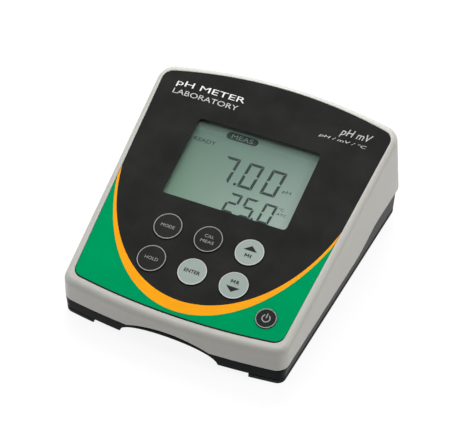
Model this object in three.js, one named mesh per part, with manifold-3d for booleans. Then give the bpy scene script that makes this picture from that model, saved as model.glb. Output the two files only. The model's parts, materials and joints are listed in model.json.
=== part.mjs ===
// Benchtop pH meter: a sloping instrument case with a membrane keypad, a liquid crystal
// display, a circuit board stack and a recessed row of sockets at the back.
// Millimetres, +Z up. The front (nearest the user) is -Y, the sockets are at +Y, and the
// origin is on the table under the middle of the case.

import * as THREE from 'three';
import { mergeVertices } from 'three/addons/utils/BufferGeometryUtils.js';
import Module from 'manifold-3d';

const wasm = await Module();
wasm.setup();

// ---------------------------------------------------------------- driving dimensions

// The control face is one tilted plane. Points on it are (x, v, n): v runs up the slope,
// n stands out of it, and FACE_HEIGHT is its height above the origin.
const FACE_TILT = THREE.MathUtils.degToRad(15);
const FACE_HEIGHT = 47.1;
const FACE_WALL = 3;
const CENTRING = 0.755;         // moves the plans so that the origin is under the middle

// Plans are bowed at the front and back (bow = radius of the arc) and flare towards the back:
// half-width = half + flare * distance up the plan. Each end is [place, bow, corner radius].
const RIM_PLAN = { half: 72.2, flare: 0.058, front: [-89.9, 425, 7.5], rear: [79.2, 316, 10.5] };
const WALL_PLAN = { half: 72.65, flare: 0.062, front: [-88.5, 425, 7.5], rear: [91.2, 316, 10.5] };
const BASE_PLAN = { half: 71.6, flare: 0.062, front: [-87.3, 425, 5], rear: [82.7, 316, 8] };
const OVERLAY_PLAN = { half: 68, flare: 0.0676, front: [-84.3, 409, 6], rear: [75.3, 270, 6.5] };

const CASE_WALL = 2.5;
const REAR_WALL_EXTRA = 3.2;     // the back wall is thicker, to reach the base below it
const EDGE_SETBACK = 3.5;       // width of the rounded edge between wall and face
const BASE_DRAFT = 0.5;
const BASE_TOP = 18;
const BASE_FLOOR = 5.2;
const BASE_WALL = 5.4;
const LIP_INSET = 3.7;
const LIP_RISE = 2.5;
const FOOT_HEIGHT = 2.8;
const FIT = 0.3;                // clearance between neighbours

// The parting line is level at the front, climbs along the sides and is level at the back.
const SEAM = { front: 11, rear: 17.2, climbStart: 10.8, climbEnd: 42.8, steps: 10 };
const BOW_STEPS = 3;
const CORNER_STEPS = 5;
const CASE_ARCH = { half: 25, rise: 5.2 };
const GRIP_ARCH = { half: 30, rise: 11, depth: 18, wall: 2 };

// Keypad: round keys in three columns and two rows, and a smaller power key in the corner.
const KEY_RADIUS = 8.5;
const POWER_RADIUS = 5.95;
const KEY_COLUMNS = [-25, 0, 25];
const KEY_ROWS = [-33.85, -55.86];
const KEYS = [
  { name: 'mode', x: KEY_COLUMNS[0], v: KEY_ROWS[0], radius: KEY_RADIUS, light: false },
  { name: 'cal', x: KEY_COLUMNS[1], v: KEY_ROWS[0], radius: KEY_RADIUS, light: false },
  { name: 'up', x: KEY_COLUMNS[2], v: KEY_ROWS[0], radius: KEY_RADIUS, light: true },
  { name: 'hold', x: KEY_COLUMNS[0], v: KEY_ROWS[1], radius: KEY_RADIUS, light: false },
  { name: 'enter', x: KEY_COLUMNS[1], v: KEY_ROWS[1], radius: KEY_RADIUS, light: true },
  { name: 'down', x: KEY_COLUMNS[2], v: KEY_ROWS[1], radius: KEY_RADIUS, light: true },
  { name: 'power', x: 49.4, v: -68.3, radius: POWER_RADIUS, light: false },
];
const KEY_GAP = 0.2;
const KEY_FLANGE = 0.9;
const KEY_TRAVEL = 0.25;

// Heights (n) of the layers under the face, from the rim plane down.
const LAYER = {
  keyTop: 0.25, overlayTop: -0.25, overlayBottom: -0.75, spacerTop: -0.8, flangeTop: -0.85,
  flangeBottom: -1.05, spacerBottom: -1.65, circuitTop: -1.72, circuitBottom: -2,
  pocketFloor: -2.06, glassTop: -3.6, glassBottom: -5.4, reflectorTop: -5.5, reflectorBottom: -5.9,
  boardTop: -9, boardBottom: -10.6,
};

const DOME_TOP = LAYER.flangeBottom - KEY_TRAVEL - 0.06;

// Display: the opening in the overlay, and everything around it grown from it.
const DISPLAY = { left: -38.3, right: 38.3, front: -13.8, rear: 40.2, corner: 2.4 };
const WINDOW_GROW = 4.2;
const OPENING_GROW = 2.2;
const COLLAR_WALL = 1.4;
const BEZEL_GROW = 4.5;
const GLASS_GROW = 3;
const ZEBRA = { width: 2.2, halfLength: 38 };
const DISPLAY_BOARD = { half: 48.8, front: -19.5, rear: 47.4 };
const DISPLAY_BOSS = { x: 46.2, v: 13.2, radius: 2.6 };
const KEYPAD_TAIL = { half: 8, v: -21.2, thickness: 0.3 };

// Main board, lying level on posts that stand on the base.
const BOARD = { half: 50, front: -36, rear: 71, bottom: 20, top: 21.6 };
const BOARD_POSTS = [[-45, -30], [45, -30], [-45, 50], [45, 50]];
const CASE_POSTS = [[-58, -54], [58, -54], [-58, 46], [58, 46]];

const CASE_POST = { radius: 4.2, bottom: 8.3, bore: 1.75, boreTop: 21 };
const BOARD_POST = { radius: 3.5, bore: 1.5, boreBottom: 8 };
const SCREW_WELL = { radius: 3.6, top: 5.5, bore: 1.9, bossRadius: 5, bossTop: 8 };
const BOARD_HOLE = 1.6;
const DISPLAY_HOLE = 1.3;

// Rubber pads: a wide corner with a peg, and a narrow strip along the side of the base that
// meets the other pad of that side. Between them is a shallow space for a label.
const PAD = { x: 57, front: -72, rear: 64, innerX: 47.5, frontEnd: -62, rearEnd: 53 };
const PAD_STRIP = { innerX: 64.2, gap: 0.3 };
const PEG = { radius: 2.5, bore: 2.8 };
const LABEL = { halfX: 26, halfY: 18, depth: 0.4 };

// Socket recess in the back wall: a vertical panel with one row of sockets.
const PANEL = { half: 46.5, bottom: 15.2, top: 43, face: 74.4, thickness: 2 };
const RECESS = { half: 45, top: 41, wall: 2 };
const SOCKET_Z = 29;
const BNC_X = 27;
const TEMPERATURE_X = 6;
const REFERENCE_X = -11;
const POWER_X = -31;

const FAR = 120;                // beyond every face of the case
const ARCH_END = -80;           // the front arch is cut only in front of this
const BIG_ROUND = 24;
const ROUND = 16;
const SMALL_ROUND = 12;

// ---------------------------------------------------------------- solids

const FACE_MATRIX = new THREE.Matrix4()
  .makeRotationX(FACE_TILT)
  .setPosition(0, 0, FACE_HEIGHT);

function solidOf(geometry) {
  const bare = geometry.clone();
  bare.deleteAttribute('normal');
  bare.deleteAttribute('uv');
  const merged = mergeVertices(bare, 1e-4);
  return new wasm.Manifold(new wasm.Mesh({
    numProp: 3,
    vertProperties: new Float32Array(merged.attributes.position.array),
    triVerts: new Uint32Array(merged.index.array),
  }));
}

function geometryOf(solid) {
  const mesh = solid.getMesh();
  const geometry = new THREE.BufferGeometry();
  geometry.setAttribute('position', new THREE.BufferAttribute(mesh.vertProperties, 3));
  geometry.setIndex(new THREE.BufferAttribute(mesh.triVerts, 1));
  geometry.computeVertexNormals();
  return geometry;
}

function box(x0, x1, y0, y1, z0, z1) {
  const geometry = new THREE.BoxGeometry(x1 - x0, y1 - y0, z1 - z0);
  return solidOf(geometry.translate((x0 + x1) / 2, (y0 + y1) / 2, (z0 + z1) / 2));
}

// Upright cylinder between two heights.
function post(x, y, z0, z1, radius, segments = ROUND) {
  const geometry = new THREE.CylinderGeometry(radius, radius, z1 - z0, segments);
  return solidOf(geometry.rotateX(Math.PI / 2).translate(x, y, (z0 + z1) / 2));
}

// Solid of revolution about Z from [radius, height] pairs, listed from the top down the
// outside. A profile that starts off the axis is a ring and closes on itself.
function turned(profile, segments = ROUND) {
  const closed = profile[0][0] > 0 ? [...profile, profile[0]] : profile;
  const points = closed.map(([radius, height]) => new THREE.Vector2(radius, height)).reverse();
  return solidOf(new THREE.LatheGeometry(points, segments).rotateX(Math.PI / 2));
}

// Outlines drawn in (x, y), (y, z) or (x, z), given depth along the third axis.
function extruded(shape, depth, curveSegments) {
  return new THREE.ExtrudeGeometry(shape, { depth, bevelEnabled: false, curveSegments });
}

function plate(shape, z0, z1) {
  return solidOf(extruded(shape, z1 - z0, 4).translate(0, 0, z0));
}

function acrossX(shape, x0, x1) {
  const basis = new THREE.Matrix4().makeBasis(
    new THREE.Vector3(0, 1, 0), new THREE.Vector3(0, 0, 1), new THREE.Vector3(1, 0, 0));
  return solidOf(extruded(shape, x1 - x0, 12).applyMatrix4(basis).translate(x0, 0, 0));
}

function alongY(shape, y0, y1) {
  const basis = new THREE.Matrix4().makeBasis(
    new THREE.Vector3(1, 0, 0), new THREE.Vector3(0, 0, 1), new THREE.Vector3(0, -1, 0));
  return solidOf(extruded(shape, y1 - y0, 12).applyMatrix4(basis).translate(0, y1, 0));
}

function polygon(points) {
  return new THREE.Shape(points.map(([a, b]) => new THREE.Vector2(a, b)));
}

function roundedRectangle(x0, x1, y0, y1, radius) {
  const shape = new THREE.Shape();
  shape.absarc(x1 - radius, y0 + radius, radius, -Math.PI / 2, 0);
  shape.absarc(x1 - radius, y1 - radius, radius, 0, Math.PI / 2);
  shape.absarc(x0 + radius, y1 - radius, radius, Math.PI / 2, Math.PI);
  shape.absarc(x0 + radius, y0 + radius, radius, Math.PI, 1.5 * Math.PI);
  return shape;
}

// A solid drawn in face coordinates, moved into the case's own frame.
function onFace(solid) {
  return solidOf(geometryOf(solid).applyMatrix4(FACE_MATRIX));
}

function joined(solids) {
  return solids.reduce((sum, solid) => sum.add(solid));
}

// Half ellipse standing on the plane under the base, as wide as its half-width on each side.
function halfEllipse(half, rise) {
  return new THREE.Shape().absellipse(0, FOOT_HEIGHT, half, rise, 0, Math.PI);
}

function posts(places, z0, z1, radius, segments = SMALL_ROUND) {
  return places.map(([x, y]) => post(x, y, z0, z1, radius, segments));
}

// ---------------------------------------------------------------- plans and lofts

// The round between a side and a bowed end (way -1 = front, 1 = rear) of a plan moved in by
// `inset`: its centre is on the side line and on the bow, both moved in by its radius as well.
function cornerRound(plan, [place, bow, corner], way, inset) {
  const radius = Math.max(corner - inset, 1);
  const reach = inset + radius;
  const half = plan.half - reach * Math.hypot(1, plan.flare);
  const bowCentre = place - way * bow;
  const a = 1 + plan.flare ** 2;
  const b = 2 * (half * plan.flare - bowCentre);
  const c = half ** 2 + bowCentre ** 2 - (bow - reach) ** 2;
  const y = (-b + way * Math.sqrt(b * b - 4 * a * c)) / (2 * a);
  const x = half + plan.flare * y;
  return { x, y, radius, bowCentre, bowRadius: bow - inset, angle: Math.atan2(y - bowCentre, x) };
}

// Points of a plan moved in by `inset`, anticlockwise from the middle of the front.
function outline(plan, inset = 0) {
  const front = cornerRound(plan, plan.front, -1, inset);
  const rear = cornerRound(plan, plan.rear, 1, inset);
  const side = -Math.atan(plan.flare);
  const right = [new THREE.Vector2(0, front.bowCentre - front.bowRadius)];
  const arc = (x, y, radius, from, to, steps) => {
    for (let i = 1; i <= steps; i += 1) {
      const angle = from + ((to - from) * i) / steps;
      right.push(new THREE.Vector2(x + radius * Math.cos(angle), y + radius * Math.sin(angle)));
    }
  };
  arc(0, front.bowCentre, front.bowRadius, -Math.PI / 2, front.angle, BOW_STEPS);
  arc(front.x, front.y, front.radius, front.angle, side, CORNER_STEPS);
  arc(rear.x, rear.y, rear.radius, side, side, 1);
  arc(rear.x, rear.y, rear.radius, side, rear.angle, CORNER_STEPS);
  arc(0, rear.bowCentre, rear.bowRadius, rear.angle, Math.PI / 2, BOW_STEPS);
  const left = right.slice(1, -1).reverse().map((p) => new THREE.Vector2(-p.x, p.y));
  return [...right, ...left];
}

// Closed skin through rings of equal length, lowest ring first.
function loft(rings) {
  const count = rings[0].length;
  const points = rings.flat();
  const index = [];
  for (let ring = 0; ring + 1 < rings.length; ring += 1) {
    for (let i = 0; i < count; i += 1) {
      const a = ring * count + i;
      const b = ring * count + ((i + 1) % count);
      index.push(a, b, b + count, a, b + count, a + count);
    }
  }
  const centreOf = (ring) => ring
    .reduce((sum, p) => sum.add(p), new THREE.Vector3())
    .divideScalar(count);
  const lowest = points.push(centreOf(rings[0])) - 1;
  const highest = points.push(centreOf(rings.at(-1))) - 1;
  const last = (rings.length - 1) * count;
  for (let i = 0; i < count; i += 1) {
    const next = (i + 1) % count;
    index.push(lowest, next, i, highest, last + i, last + next);
  }
  const geometry = new THREE.BufferGeometry().setFromPoints(points);
  geometry.setIndex(index);
  return solidOf(geometry);
}

function levelRing(plan, inset, z) {
  return outline(plan, inset).map((p) => new THREE.Vector3(p.x, p.y, z));
}

function faceRing(plan, inset, n) {
  return outline(plan, inset).map((p) => new THREE.Vector3(p.x, p.y, n).applyMatrix4(FACE_MATRIX));
}

// Block under the tilted face: walls from the table up, meeting the face in a rounded edge.
function slopedBlock(wallPlan, rimPlan, inset, drop, setback, steps) {
  const foot = levelRing(wallPlan, inset, 0);
  const brim = faceRing(rimPlan, inset, -drop);
  const inner = faceRing(rimPlan, inset + 1, -drop);
  const rings = [foot];
  const corners = brim.map((edge, i) => {
    const down = foot[i].clone().sub(edge).normalize();
    const inward = inner[i].clone().sub(edge).normalize();
    const half = down.angleTo(inward) / 2;
    const bisector = down.clone().add(inward).normalize();
    const centre = edge.clone().addScaledVector(bisector, setback / Math.cos(half));
    const start = edge.clone().addScaledVector(down, setback).sub(centre);
    const end = edge.clone().addScaledVector(inward, setback).sub(centre);
    return { centre, start, end, sweep: Math.PI - 2 * half };
  });
  for (let step = 0; step <= steps; step += 1) {
    rings.push(corners.map(({ centre, start, end, sweep }) => {
      const t = step / steps;
      const scale = 1 / Math.sin(sweep);
      return centre.clone()
        .addScaledVector(start, Math.sin((1 - t) * sweep) * scale)
        .addScaledVector(end, Math.sin(t * sweep) * scale);
    }));
  }
  return loft(rings);
}

// Everything below the parting line, moved up by `lift`.
function belowSeam(lift) {
  const climb = [];
  for (let i = SEAM.steps; i >= 0; i -= 1) {
    const t = i / SEAM.steps;
    const y = SEAM.climbStart + t * (SEAM.climbEnd - SEAM.climbStart);
    const rise = (SEAM.rear - SEAM.front) * t * t * (3 - 2 * t);
    climb.push([y, SEAM.front + lift + rise]);
  }
  const side = polygon([
    [-FAR, -FAR], [FAR, -FAR], [FAR, SEAM.rear + lift], ...climb, [-FAR, SEAM.front + lift],
  ]);
  const { half, rise } = CASE_ARCH;
  const radius = (half ** 2 + rise ** 2) / (2 * rise);
  const sweep = Math.asin(half / radius);
  const arch = new THREE.Shape();
  arch.moveTo(-half, 0);
  arch.lineTo(half, 0);
  arch.absarc(0, SEAM.front + lift + rise - radius, radius, Math.PI / 2 - sweep, Math.PI / 2 + sweep);
  return acrossX(side, -FAR, FAR).add(alongY(arch, -FAR, ARCH_END));
}

function grown(rectangle, by) {
  return [rectangle.left - by, rectangle.right + by, rectangle.front - by, rectangle.rear + by];
}

// ---------------------------------------------------------------- parts

const meter = new THREE.Group();
meter.position.y = CENTRING;
const face = new THREE.Group();
face.rotation.x = FACE_TILT;
face.position.z = FACE_HEIGHT;
meter.add(face);

function part(parent, name, solid, colour, roughness, metalness = 0) {
  const material = new THREE.MeshStandardMaterial({ color: colour, roughness, metalness });
  const mesh = new THREE.Mesh(geometryOf(solid), material);
  mesh.name = name;
  parent.add(mesh);
  return mesh;
}

// Hollow under the upper shell: walls and face moved in, with a thicker back wall.
function caseHollow() {
  const [place, bow, corner] = WALL_PLAN.rear;
  const wall = { ...WALL_PLAN, rear: [place - REAR_WALL_EXTRA, bow, corner] };
  return slopedBlock(wall, RIM_PLAN, CASE_WALL, FACE_WALL, 1.5, 1);
}

// Light upper shell with the keypad pocket, display opening, screw posts and socket hood.
function topCase() {
  const outer = slopedBlock(WALL_PLAN, RIM_PLAN, 0, 0, EDGE_SETBACK, 5);
  const { half, top, wall } = RECESS;
  const hood = box(-half - wall, half + wall, PANEL.face + FIT, FAR, 0, top + wall);
  const screwPosts = posts(CASE_POSTS, CASE_POST.bottom, FAR, CASE_POST.radius);
  const displayPosts = [-1, 1].map((side) => onFace(post(
    side * DISPLAY_BOSS.x, DISPLAY_BOSS.v, LAYER.boardTop + 0.1, -FACE_WALL / 2,
    DISPLAY_BOSS.radius, SMALL_ROUND)));
  const added = joined([hood.subtract(belowSeam(0)), ...screwPosts]).intersect(outer);
  const walls = outer.subtract(caseHollow()).subtract(belowSeam(0));
  const shell = joined([walls, added, ...displayPosts]);

  const pocket = loft([
    faceRing(OVERLAY_PLAN, -FIT, LAYER.pocketFloor), faceRing(OVERLAY_PLAN, -FIT, 5)]);
  const [x0, x1, v0, v1] = grown(DISPLAY, OPENING_GROW);
  const opening = onFace(box(x0, x1, v0, v1, -FACE_WALL - 1, 0));
  const tailHalf = KEYPAD_TAIL.half + 0.5;
  const tailSlot = onFace(
    box(-tailHalf, tailHalf, KEYPAD_TAIL.v - 1, KEYPAD_TAIL.v + 1, -FACE_WALL - 1, 0));
  const recess = box(-half, half, PANEL.face - 1, FAR, 0, top);
  const screwBores = posts(CASE_POSTS, 0, CASE_POST.boreTop, CASE_POST.bore, 8);
  const displayBores = [-1, 1].map((side) => onFace(post(
    side * DISPLAY_BOSS.x, DISPLAY_BOSS.v, LAYER.boardTop - 1, -FACE_WALL - 0.4, DISPLAY_HOLE, 8)));
  return shell.subtract(
    joined([pocket, opening, tailSlot, recess, ...screwBores, ...displayBores]));
}

// Everything of the base that stands inside the walls of the upper shell.
function insideWalls() {
  return loft([
    levelRing(BASE_PLAN, LIP_INSET, FOOT_HEIGHT + 1),
    levelRing(BASE_PLAN, LIP_INSET, BASE_TOP + 5)]);
}

// Dark lower shell: low tray with a lip inside the upper shell, open where the socket panel
// crosses it, board posts, screw wells, a grip arch under the front and a sill at the sockets.
function bottomCase() {
  const block = loft([
    levelRing(BASE_PLAN, 0, FOOT_HEIGHT), levelRing(BASE_PLAN, -BASE_DRAFT, BASE_TOP)]);
  const cavity = loft([
    levelRing(BASE_PLAN, BASE_WALL, BASE_FLOOR), levelRing(BASE_PLAN, BASE_WALL, BASE_TOP + 9)]);
  const notch = box(-RECESS.half - 3, RECESS.half + 3, PANEL.face - 3, FAR, SEAM.rear - 0.2, FAR);
  const lip = insideWalls().intersect(belowSeam(LIP_RISE)).subtract(notch);
  const outside = block.intersect(belowSeam(-FIT));
  const sill = box(-RECESS.half - 2, RECESS.half + 2, PANEL.face + FIT, FAR,
    PANEL.bottom - 0.7, SEAM.rear - FIT);
  const { half, rise, depth, wall } = GRIP_ARCH;
  const gripBack = BASE_PLAN.front[0] + depth;
  const hood = alongY(halfEllipse(half + wall, rise + wall), -FAR, gripBack + wall);
  const tray = joined([
    outside.add(lip).subtract(cavity), sill.intersect(block),
    hood.intersect(outside.add(insideWalls())),
    ...posts(BOARD_POSTS, BASE_FLOOR - 1, BOARD.bottom - 0.1, BOARD_POST.radius),
    ...posts(CASE_POSTS, BASE_FLOOR - 1, SCREW_WELL.bossTop, SCREW_WELL.bossRadius)]);

  const groove = box(-PANEL.half - FIT, PANEL.half + FIT,
    PANEL.face - PANEL.thickness - FIT, PANEL.face + FIT, PANEL.bottom - FIT, FAR);
  return tray.subtract(joined([
    alongY(halfEllipse(half, rise), -FAR, gripBack),
    box(-half, half, -FAR, gripBack, 0, FOOT_HEIGHT + 0.01),
    box(-LABEL.halfX, LABEL.halfX, -LABEL.halfY, LABEL.halfY, 0, FOOT_HEIGHT + LABEL.depth),
    groove,
    ...posts(BOARD_POSTS, BOARD_POST.boreBottom, FAR, BOARD_POST.bore, 8),
    ...posts(CASE_POSTS, 0, SCREW_WELL.top, SCREW_WELL.radius),
    ...posts(CASE_POSTS, SCREW_WELL.top - 0.5, SCREW_WELL.bossTop + 1, SCREW_WELL.bore, 8),
    ...footPlaces().map(({ x, y }) => post(x, y, 0, BASE_FLOOR + 1, PEG.bore, SMALL_ROUND))]));
}

function footPlaces() {
  return [['front', PAD.front], ['rear', PAD.rear]].flatMap(([end, y]) => [
    { name: `foot_${end}_left`, x: -PAD.x, y },
    { name: `foot_${end}_right`, x: PAD.x, y }]);
}

// Rubber pad under one corner and half of one side of the base, with a peg that holds it.
function foot({ x, y }) {
  const pad = loft([
    levelRing(BASE_PLAN, 0.4, 0), levelRing(BASE_PLAN, 0, 0.4),
    levelRing(BASE_PLAN, 0, FOOT_HEIGHT - 0.1)]);
  const across = (inner) => (x > 0 ? [inner, FAR] : [-FAR, -inner]);
  const corner = y > 0 ? [PAD.rearEnd, FAR] : [-FAR, PAD.frontEnd];
  const side = y > 0 ? [PAD_STRIP.gap, FAR] : [-FAR, -PAD_STRIP.gap];
  const extent = box(...across(PAD.innerX), ...corner, -1, FOOT_HEIGHT)
    .add(box(...across(PAD_STRIP.innerX), ...side, -1, FOOT_HEIGHT));
  return pad.intersect(extent)
    .add(post(x, y, FOOT_HEIGHT - 0.6, BASE_FLOOR - 0.5, PEG.radius, SMALL_ROUND));
}

// Vertical plate behind the socket recess.
function rearPanel() {
  const sheet = box(-PANEL.half, PANEL.half, PANEL.face - PANEL.thickness, PANEL.face,
    PANEL.bottom, PANEL.top);
  const bores = [[BNC_X, 6.4], [TEMPERATURE_X, 4.2], [REFERENCE_X, 2.8], [POWER_X, 4.4]];
  return bores.reduce((rest, [x, radius]) => rest.subtract(facingBack(post(0, 0, -5, 5, radius), x)), sheet);
}

// A part drawn about Z with the panel's outer surface at z = 0, turned to look out of the back.
function facingBack(solid, x) {
  const geometry = geometryOf(solid).rotateX(-Math.PI / 2).translate(x, PANEL.face, SOCKET_Z);
  return solidOf(geometry);
}

// ---- keypad

function overlayLayer(inset, bottom, top, cutouts) {
  const ring = (n) => outline(OVERLAY_PLAN, inset).map((p) => new THREE.Vector3(p.x, p.y, n));
  return cutouts.reduce((rest, cutout) => rest.subtract(cutout), loft([ring(bottom), ring(top)]));
}

function keyBores(grow) {
  return KEYS.map(({ x, v, radius }) => post(x, v, -5, 5, radius + grow, BIG_ROUND));
}

function overlay() {
  const { left, right, front, rear, corner } = DISPLAY;
  const view = plate(roundedRectangle(left, right, front, rear, corner), -5, 5);
  return overlayLayer(0, LAYER.overlayBottom, LAYER.overlayTop, [view, ...keyBores(KEY_GAP)]);
}

function spacer() {
  const [x0, x1, v0, v1] = grown(DISPLAY, WINDOW_GROW + FIT);
  return overlayLayer(0.5, LAYER.spacerBottom, LAYER.spacerTop,
    [box(x0, x1, v0, v1, -5, 5), ...keyBores(KEY_FLANGE + KEY_GAP)]);
}

// Printed circuit film with a tail that drops through the case to its socket.
function keypadCircuit() {
  const [x0, x1, v0, v1] = grown(DISPLAY, WINDOW_GROW + FIT);
  const window = box(x0, x1, v0, v1, -5, 5);
  const film = overlayLayer(0.8, LAYER.circuitBottom, LAYER.circuitTop, [window]);
  const path = new THREE.CubicBezierCurve(
    new THREE.Vector2(KEYPAD_TAIL.v, LAYER.circuitTop - 0.1), new THREE.Vector2(KEYPAD_TAIL.v, -12),
    toFace(KEYPAD_SOCKET.y, BOARD.top + 9), toFace(KEYPAD_SOCKET.y, BOARD.top + 3));
  return film.add(ribbon(path, KEYPAD_TAIL.thickness, -KEYPAD_TAIL.half, KEYPAD_TAIL.half, 10));
}

function toFace(y, z) {
  const point = new THREE.Vector3(0, y, z).applyMatrix4(FACE_MATRIX.clone().invert());
  return new THREE.Vector2(point.y, point.z);
}

// Flat strip of constant thickness along a curve in (y, z), as wide as x0 to x1.
function ribbon(path, thickness, x0, x1, steps) {
  const upper = [];
  const lower = [];
  for (let i = 0; i <= steps; i += 1) {
    const point = path.getPoint(i / steps);
    const tangent = path.getTangent(i / steps);
    const normal = new THREE.Vector2(-tangent.y, tangent.x).multiplyScalar(thickness / 2);
    upper.push(point.clone().add(normal));
    lower.push(point.clone().sub(normal));
  }
  return acrossX(new THREE.Shape([...upper, ...lower.reverse()]), x0, x1);
}

function key(radius) {
  return turned([
    [0, LAYER.keyTop], [radius - 0.3, LAYER.keyTop], [radius, LAYER.keyTop - 0.2],
    [radius, LAYER.flangeTop], [radius + KEY_FLANGE, LAYER.flangeTop],
    [radius + KEY_FLANGE, LAYER.flangeBottom], [0, LAYER.flangeBottom],
  ], BIG_ROUND);
}

// Metal snap dome: a shallow cap, open underneath.
function dome() {
  const foot = LAYER.circuitTop + 0.04;
  return turned([
    [0, DOME_TOP], [2.6, DOME_TOP - 0.06], [4.2, foot], [3.9, foot], [2.5, DOME_TOP - 0.2],
    [0, DOME_TOP - 0.14],
  ], SMALL_ROUND);
}

// ---- display

function frame(outerGrow, innerGrow, bottom, top) {
  const [x0, x1, v0, v1] = grown(DISPLAY, outerGrow);
  const [u0, u1, w0, w1] = grown(DISPLAY, innerGrow);
  return box(x0, x1, v0, v1, bottom, top).subtract(box(u0, u1, w0, w1, bottom - 1, top + 1));
}

// Black frame that lines the opening and holds the glass, open at the back.
function displayBezel() {
  const collarTop = LAYER.pocketFloor - 0.1;
  const shoulder = -FACE_WALL - 0.1;
  const collar = frame(OPENING_GROW - FIT, OPENING_GROW - FIT - COLLAR_WALL, shoulder - 0.2, collarTop);
  const ledge = frame(BEZEL_GROW, OPENING_GROW - FIT - COLLAR_WALL, LAYER.glassTop + 0.05, shoulder);
  const skirt = frame(BEZEL_GROW, GLASS_GROW + 0.2, LAYER.boardTop + 0.1, LAYER.glassTop + 0.06);
  return joined([collar, ledge, skirt]);
}

function displayPlate(grow, bottom, top) {
  const [x0, x1, v0, v1] = grown(DISPLAY, grow);
  return box(x0, x1, v0, v1, bottom, top);
}

function displayBoard() {
  const sheet = box(-DISPLAY_BOARD.half, DISPLAY_BOARD.half, DISPLAY_BOARD.front, DISPLAY_BOARD.rear,
    LAYER.boardBottom, LAYER.boardTop);
  const holes = [-1, 1].map(
    (side) => post(side * DISPLAY_BOSS.x, DISPLAY_BOSS.v, -20, 0, DISPLAY_HOLE, 8));
  return sheet.subtract(joined(holes));
}

// Conductive rubber strip between the glass ledge and the display board.
function zebraStrip(v) {
  return box(-ZEBRA.halfLength, ZEBRA.halfLength, v - ZEBRA.width / 2, v + ZEBRA.width / 2,
    LAYER.boardTop + 0.05, LAYER.glassBottom - 0.05);
}

// ---- boards and what they carry

const KEYPAD_SOCKET = { x: 0, y: -24, half: 10 };
const DISPLAY_SOCKET = { x: -20, y: 24, half: 12 };

function mainBoard() {
  const sheet = box(-BOARD.half, BOARD.half, BOARD.front, BOARD.rear, BOARD.bottom, BOARD.top);
  return sheet.subtract(joined(posts(BOARD_POSTS, 0, FAR, BOARD_HOLE, 8)));
}

// Cable socket with a slot along its top.
function cableSocket(x, y, half) {
  const z = BOARD.top + 0.1;
  return box(x - half, x + half, y - 2.5, y + 2.5, z, z + 5)
    .subtract(box(x - half + 1, x + half - 1, y - 0.7, y + 0.7, z + 1.5, z + 6));
}

function displayCable() {
  const start = new THREE.Vector3(0, 22, LAYER.boardBottom - 0.1).applyMatrix4(FACE_MATRIX);
  const path = new THREE.CubicBezierCurve(
    new THREE.Vector2(start.y, start.z), new THREE.Vector2(start.y + 3, start.z - 9),
    new THREE.Vector2(DISPLAY_SOCKET.y, BOARD.top + 14), new THREE.Vector2(DISPLAY_SOCKET.y, BOARD.top + 3));
  const half = DISPLAY_SOCKET.half - 2;
  return ribbon(path, 0.6, DISPLAY_SOCKET.x - half, DISPLAY_SOCKET.x + half, 10);
}

// Flat package with a bevelled top edge and a marker dimple.
function chip(x, y, halfX, halfY, height) {
  const z = BOARD.top + 0.1;
  const ring = (inset, level) => [[-1, -1], [1, -1], [1, 1], [-1, 1]].map(
    ([a, b]) => new THREE.Vector3(x + a * (halfX - inset), y + b * (halfY - inset), level));
  const body = loft([ring(0.2, z), ring(0, z + height / 2), ring(0.3, z + height)]);
  return body.subtract(post(x - halfX + 1.4, y - halfY + 1.4, z + height - 0.2, z + height + 1, 0.6, 8));
}

// Folded metal can, open underneath.
function shieldCan() {
  const z = BOARD.top + 0.1;
  return box(14, 42, 28, 54, z, z + 7).subtract(box(14.5, 41.5, 28.5, 53.5, z - 1, z + 6.5));
}

function crystalCan() {
  const z = BOARD.top + 0.1;
  return plate(roundedRectangle(-12, -1, 6, 10.7, 2.3), z, z + 3.5);
}

function capacitor() {
  const z = BOARD.top + 0.1;
  return turned([
    [0, 11.6], [2.4, 11.6], [2.6, 12], [3.7, 12], [4, 11.6], [4, 1.4], [3.6, 1.1], [4, 0.8],
    [4, 0], [0, 0],
  ], ROUND).translate([-36, 36, z]);
}

// ---- sockets, drawn with the panel's outer surface at z = 0

function bncBody() {
  const barrel = turned([
    [4.05, 11.8], [4.6, 11.8], [4.8, 11.5], [4.8, 3], [6.1, 2.6], [6.1, -2.3], [7.2, -2.3],
    [7.2, -9], [0, -9], [0, 1], [4.05, 1],
  ], ROUND);
  const lug = solidOf(
    new THREE.CylinderGeometry(1, 1, 11.2, 8).rotateZ(Math.PI / 2).translate(0, 0, 7.6));
  const bore = post(0, 0, 1, 20, 4.05, ROUND);
  return barrel.add(lug.subtract(bore));
}

function bncInsulator() {
  return turned([[2.6, 6], [3.7, 6], [3.7, 1.1], [1.5, 1.1], [1.5, 5], [2.6, 5]], ROUND);
}

function bncContact() {
  return turned([
    [0.7, 7.5], [1.15, 7.5], [1.15, 1.1], [0, 1.1], [0, 4], [0.7, 4],
  ], SMALL_ROUND);
}

function hexNut(acrossFlats, bore, bottom, top) {
  const outer = post(0, 0, bottom, top, acrossFlats / Math.sqrt(3), 6);
  return outer.subtract(post(0, 0, bottom - 1, top + 1, bore, ROUND));
}

function temperatureJack() {
  const body = box(-5.5, 5.5, -5.5, 6.8, -14, -2.3);
  const collar = turned([
    [1.8, 4.2], [3.6, 4.2], [3.9, 3.9], [3.9, -4], [1.8, -4],
  ], ROUND);
  return body.subtract(post(0, 0, -11, 5, 1.8, ROUND)).add(collar);
}

function referenceJack() {
  return turned([
    [1.2, 2.4], [2.2, 2.4], [3.4, 1.6], [3.4, 0.2], [2.5, 0.2], [2.5, -10], [0, -10], [0, -7],
    [1.2, -7],
  ], ROUND);
}

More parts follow.
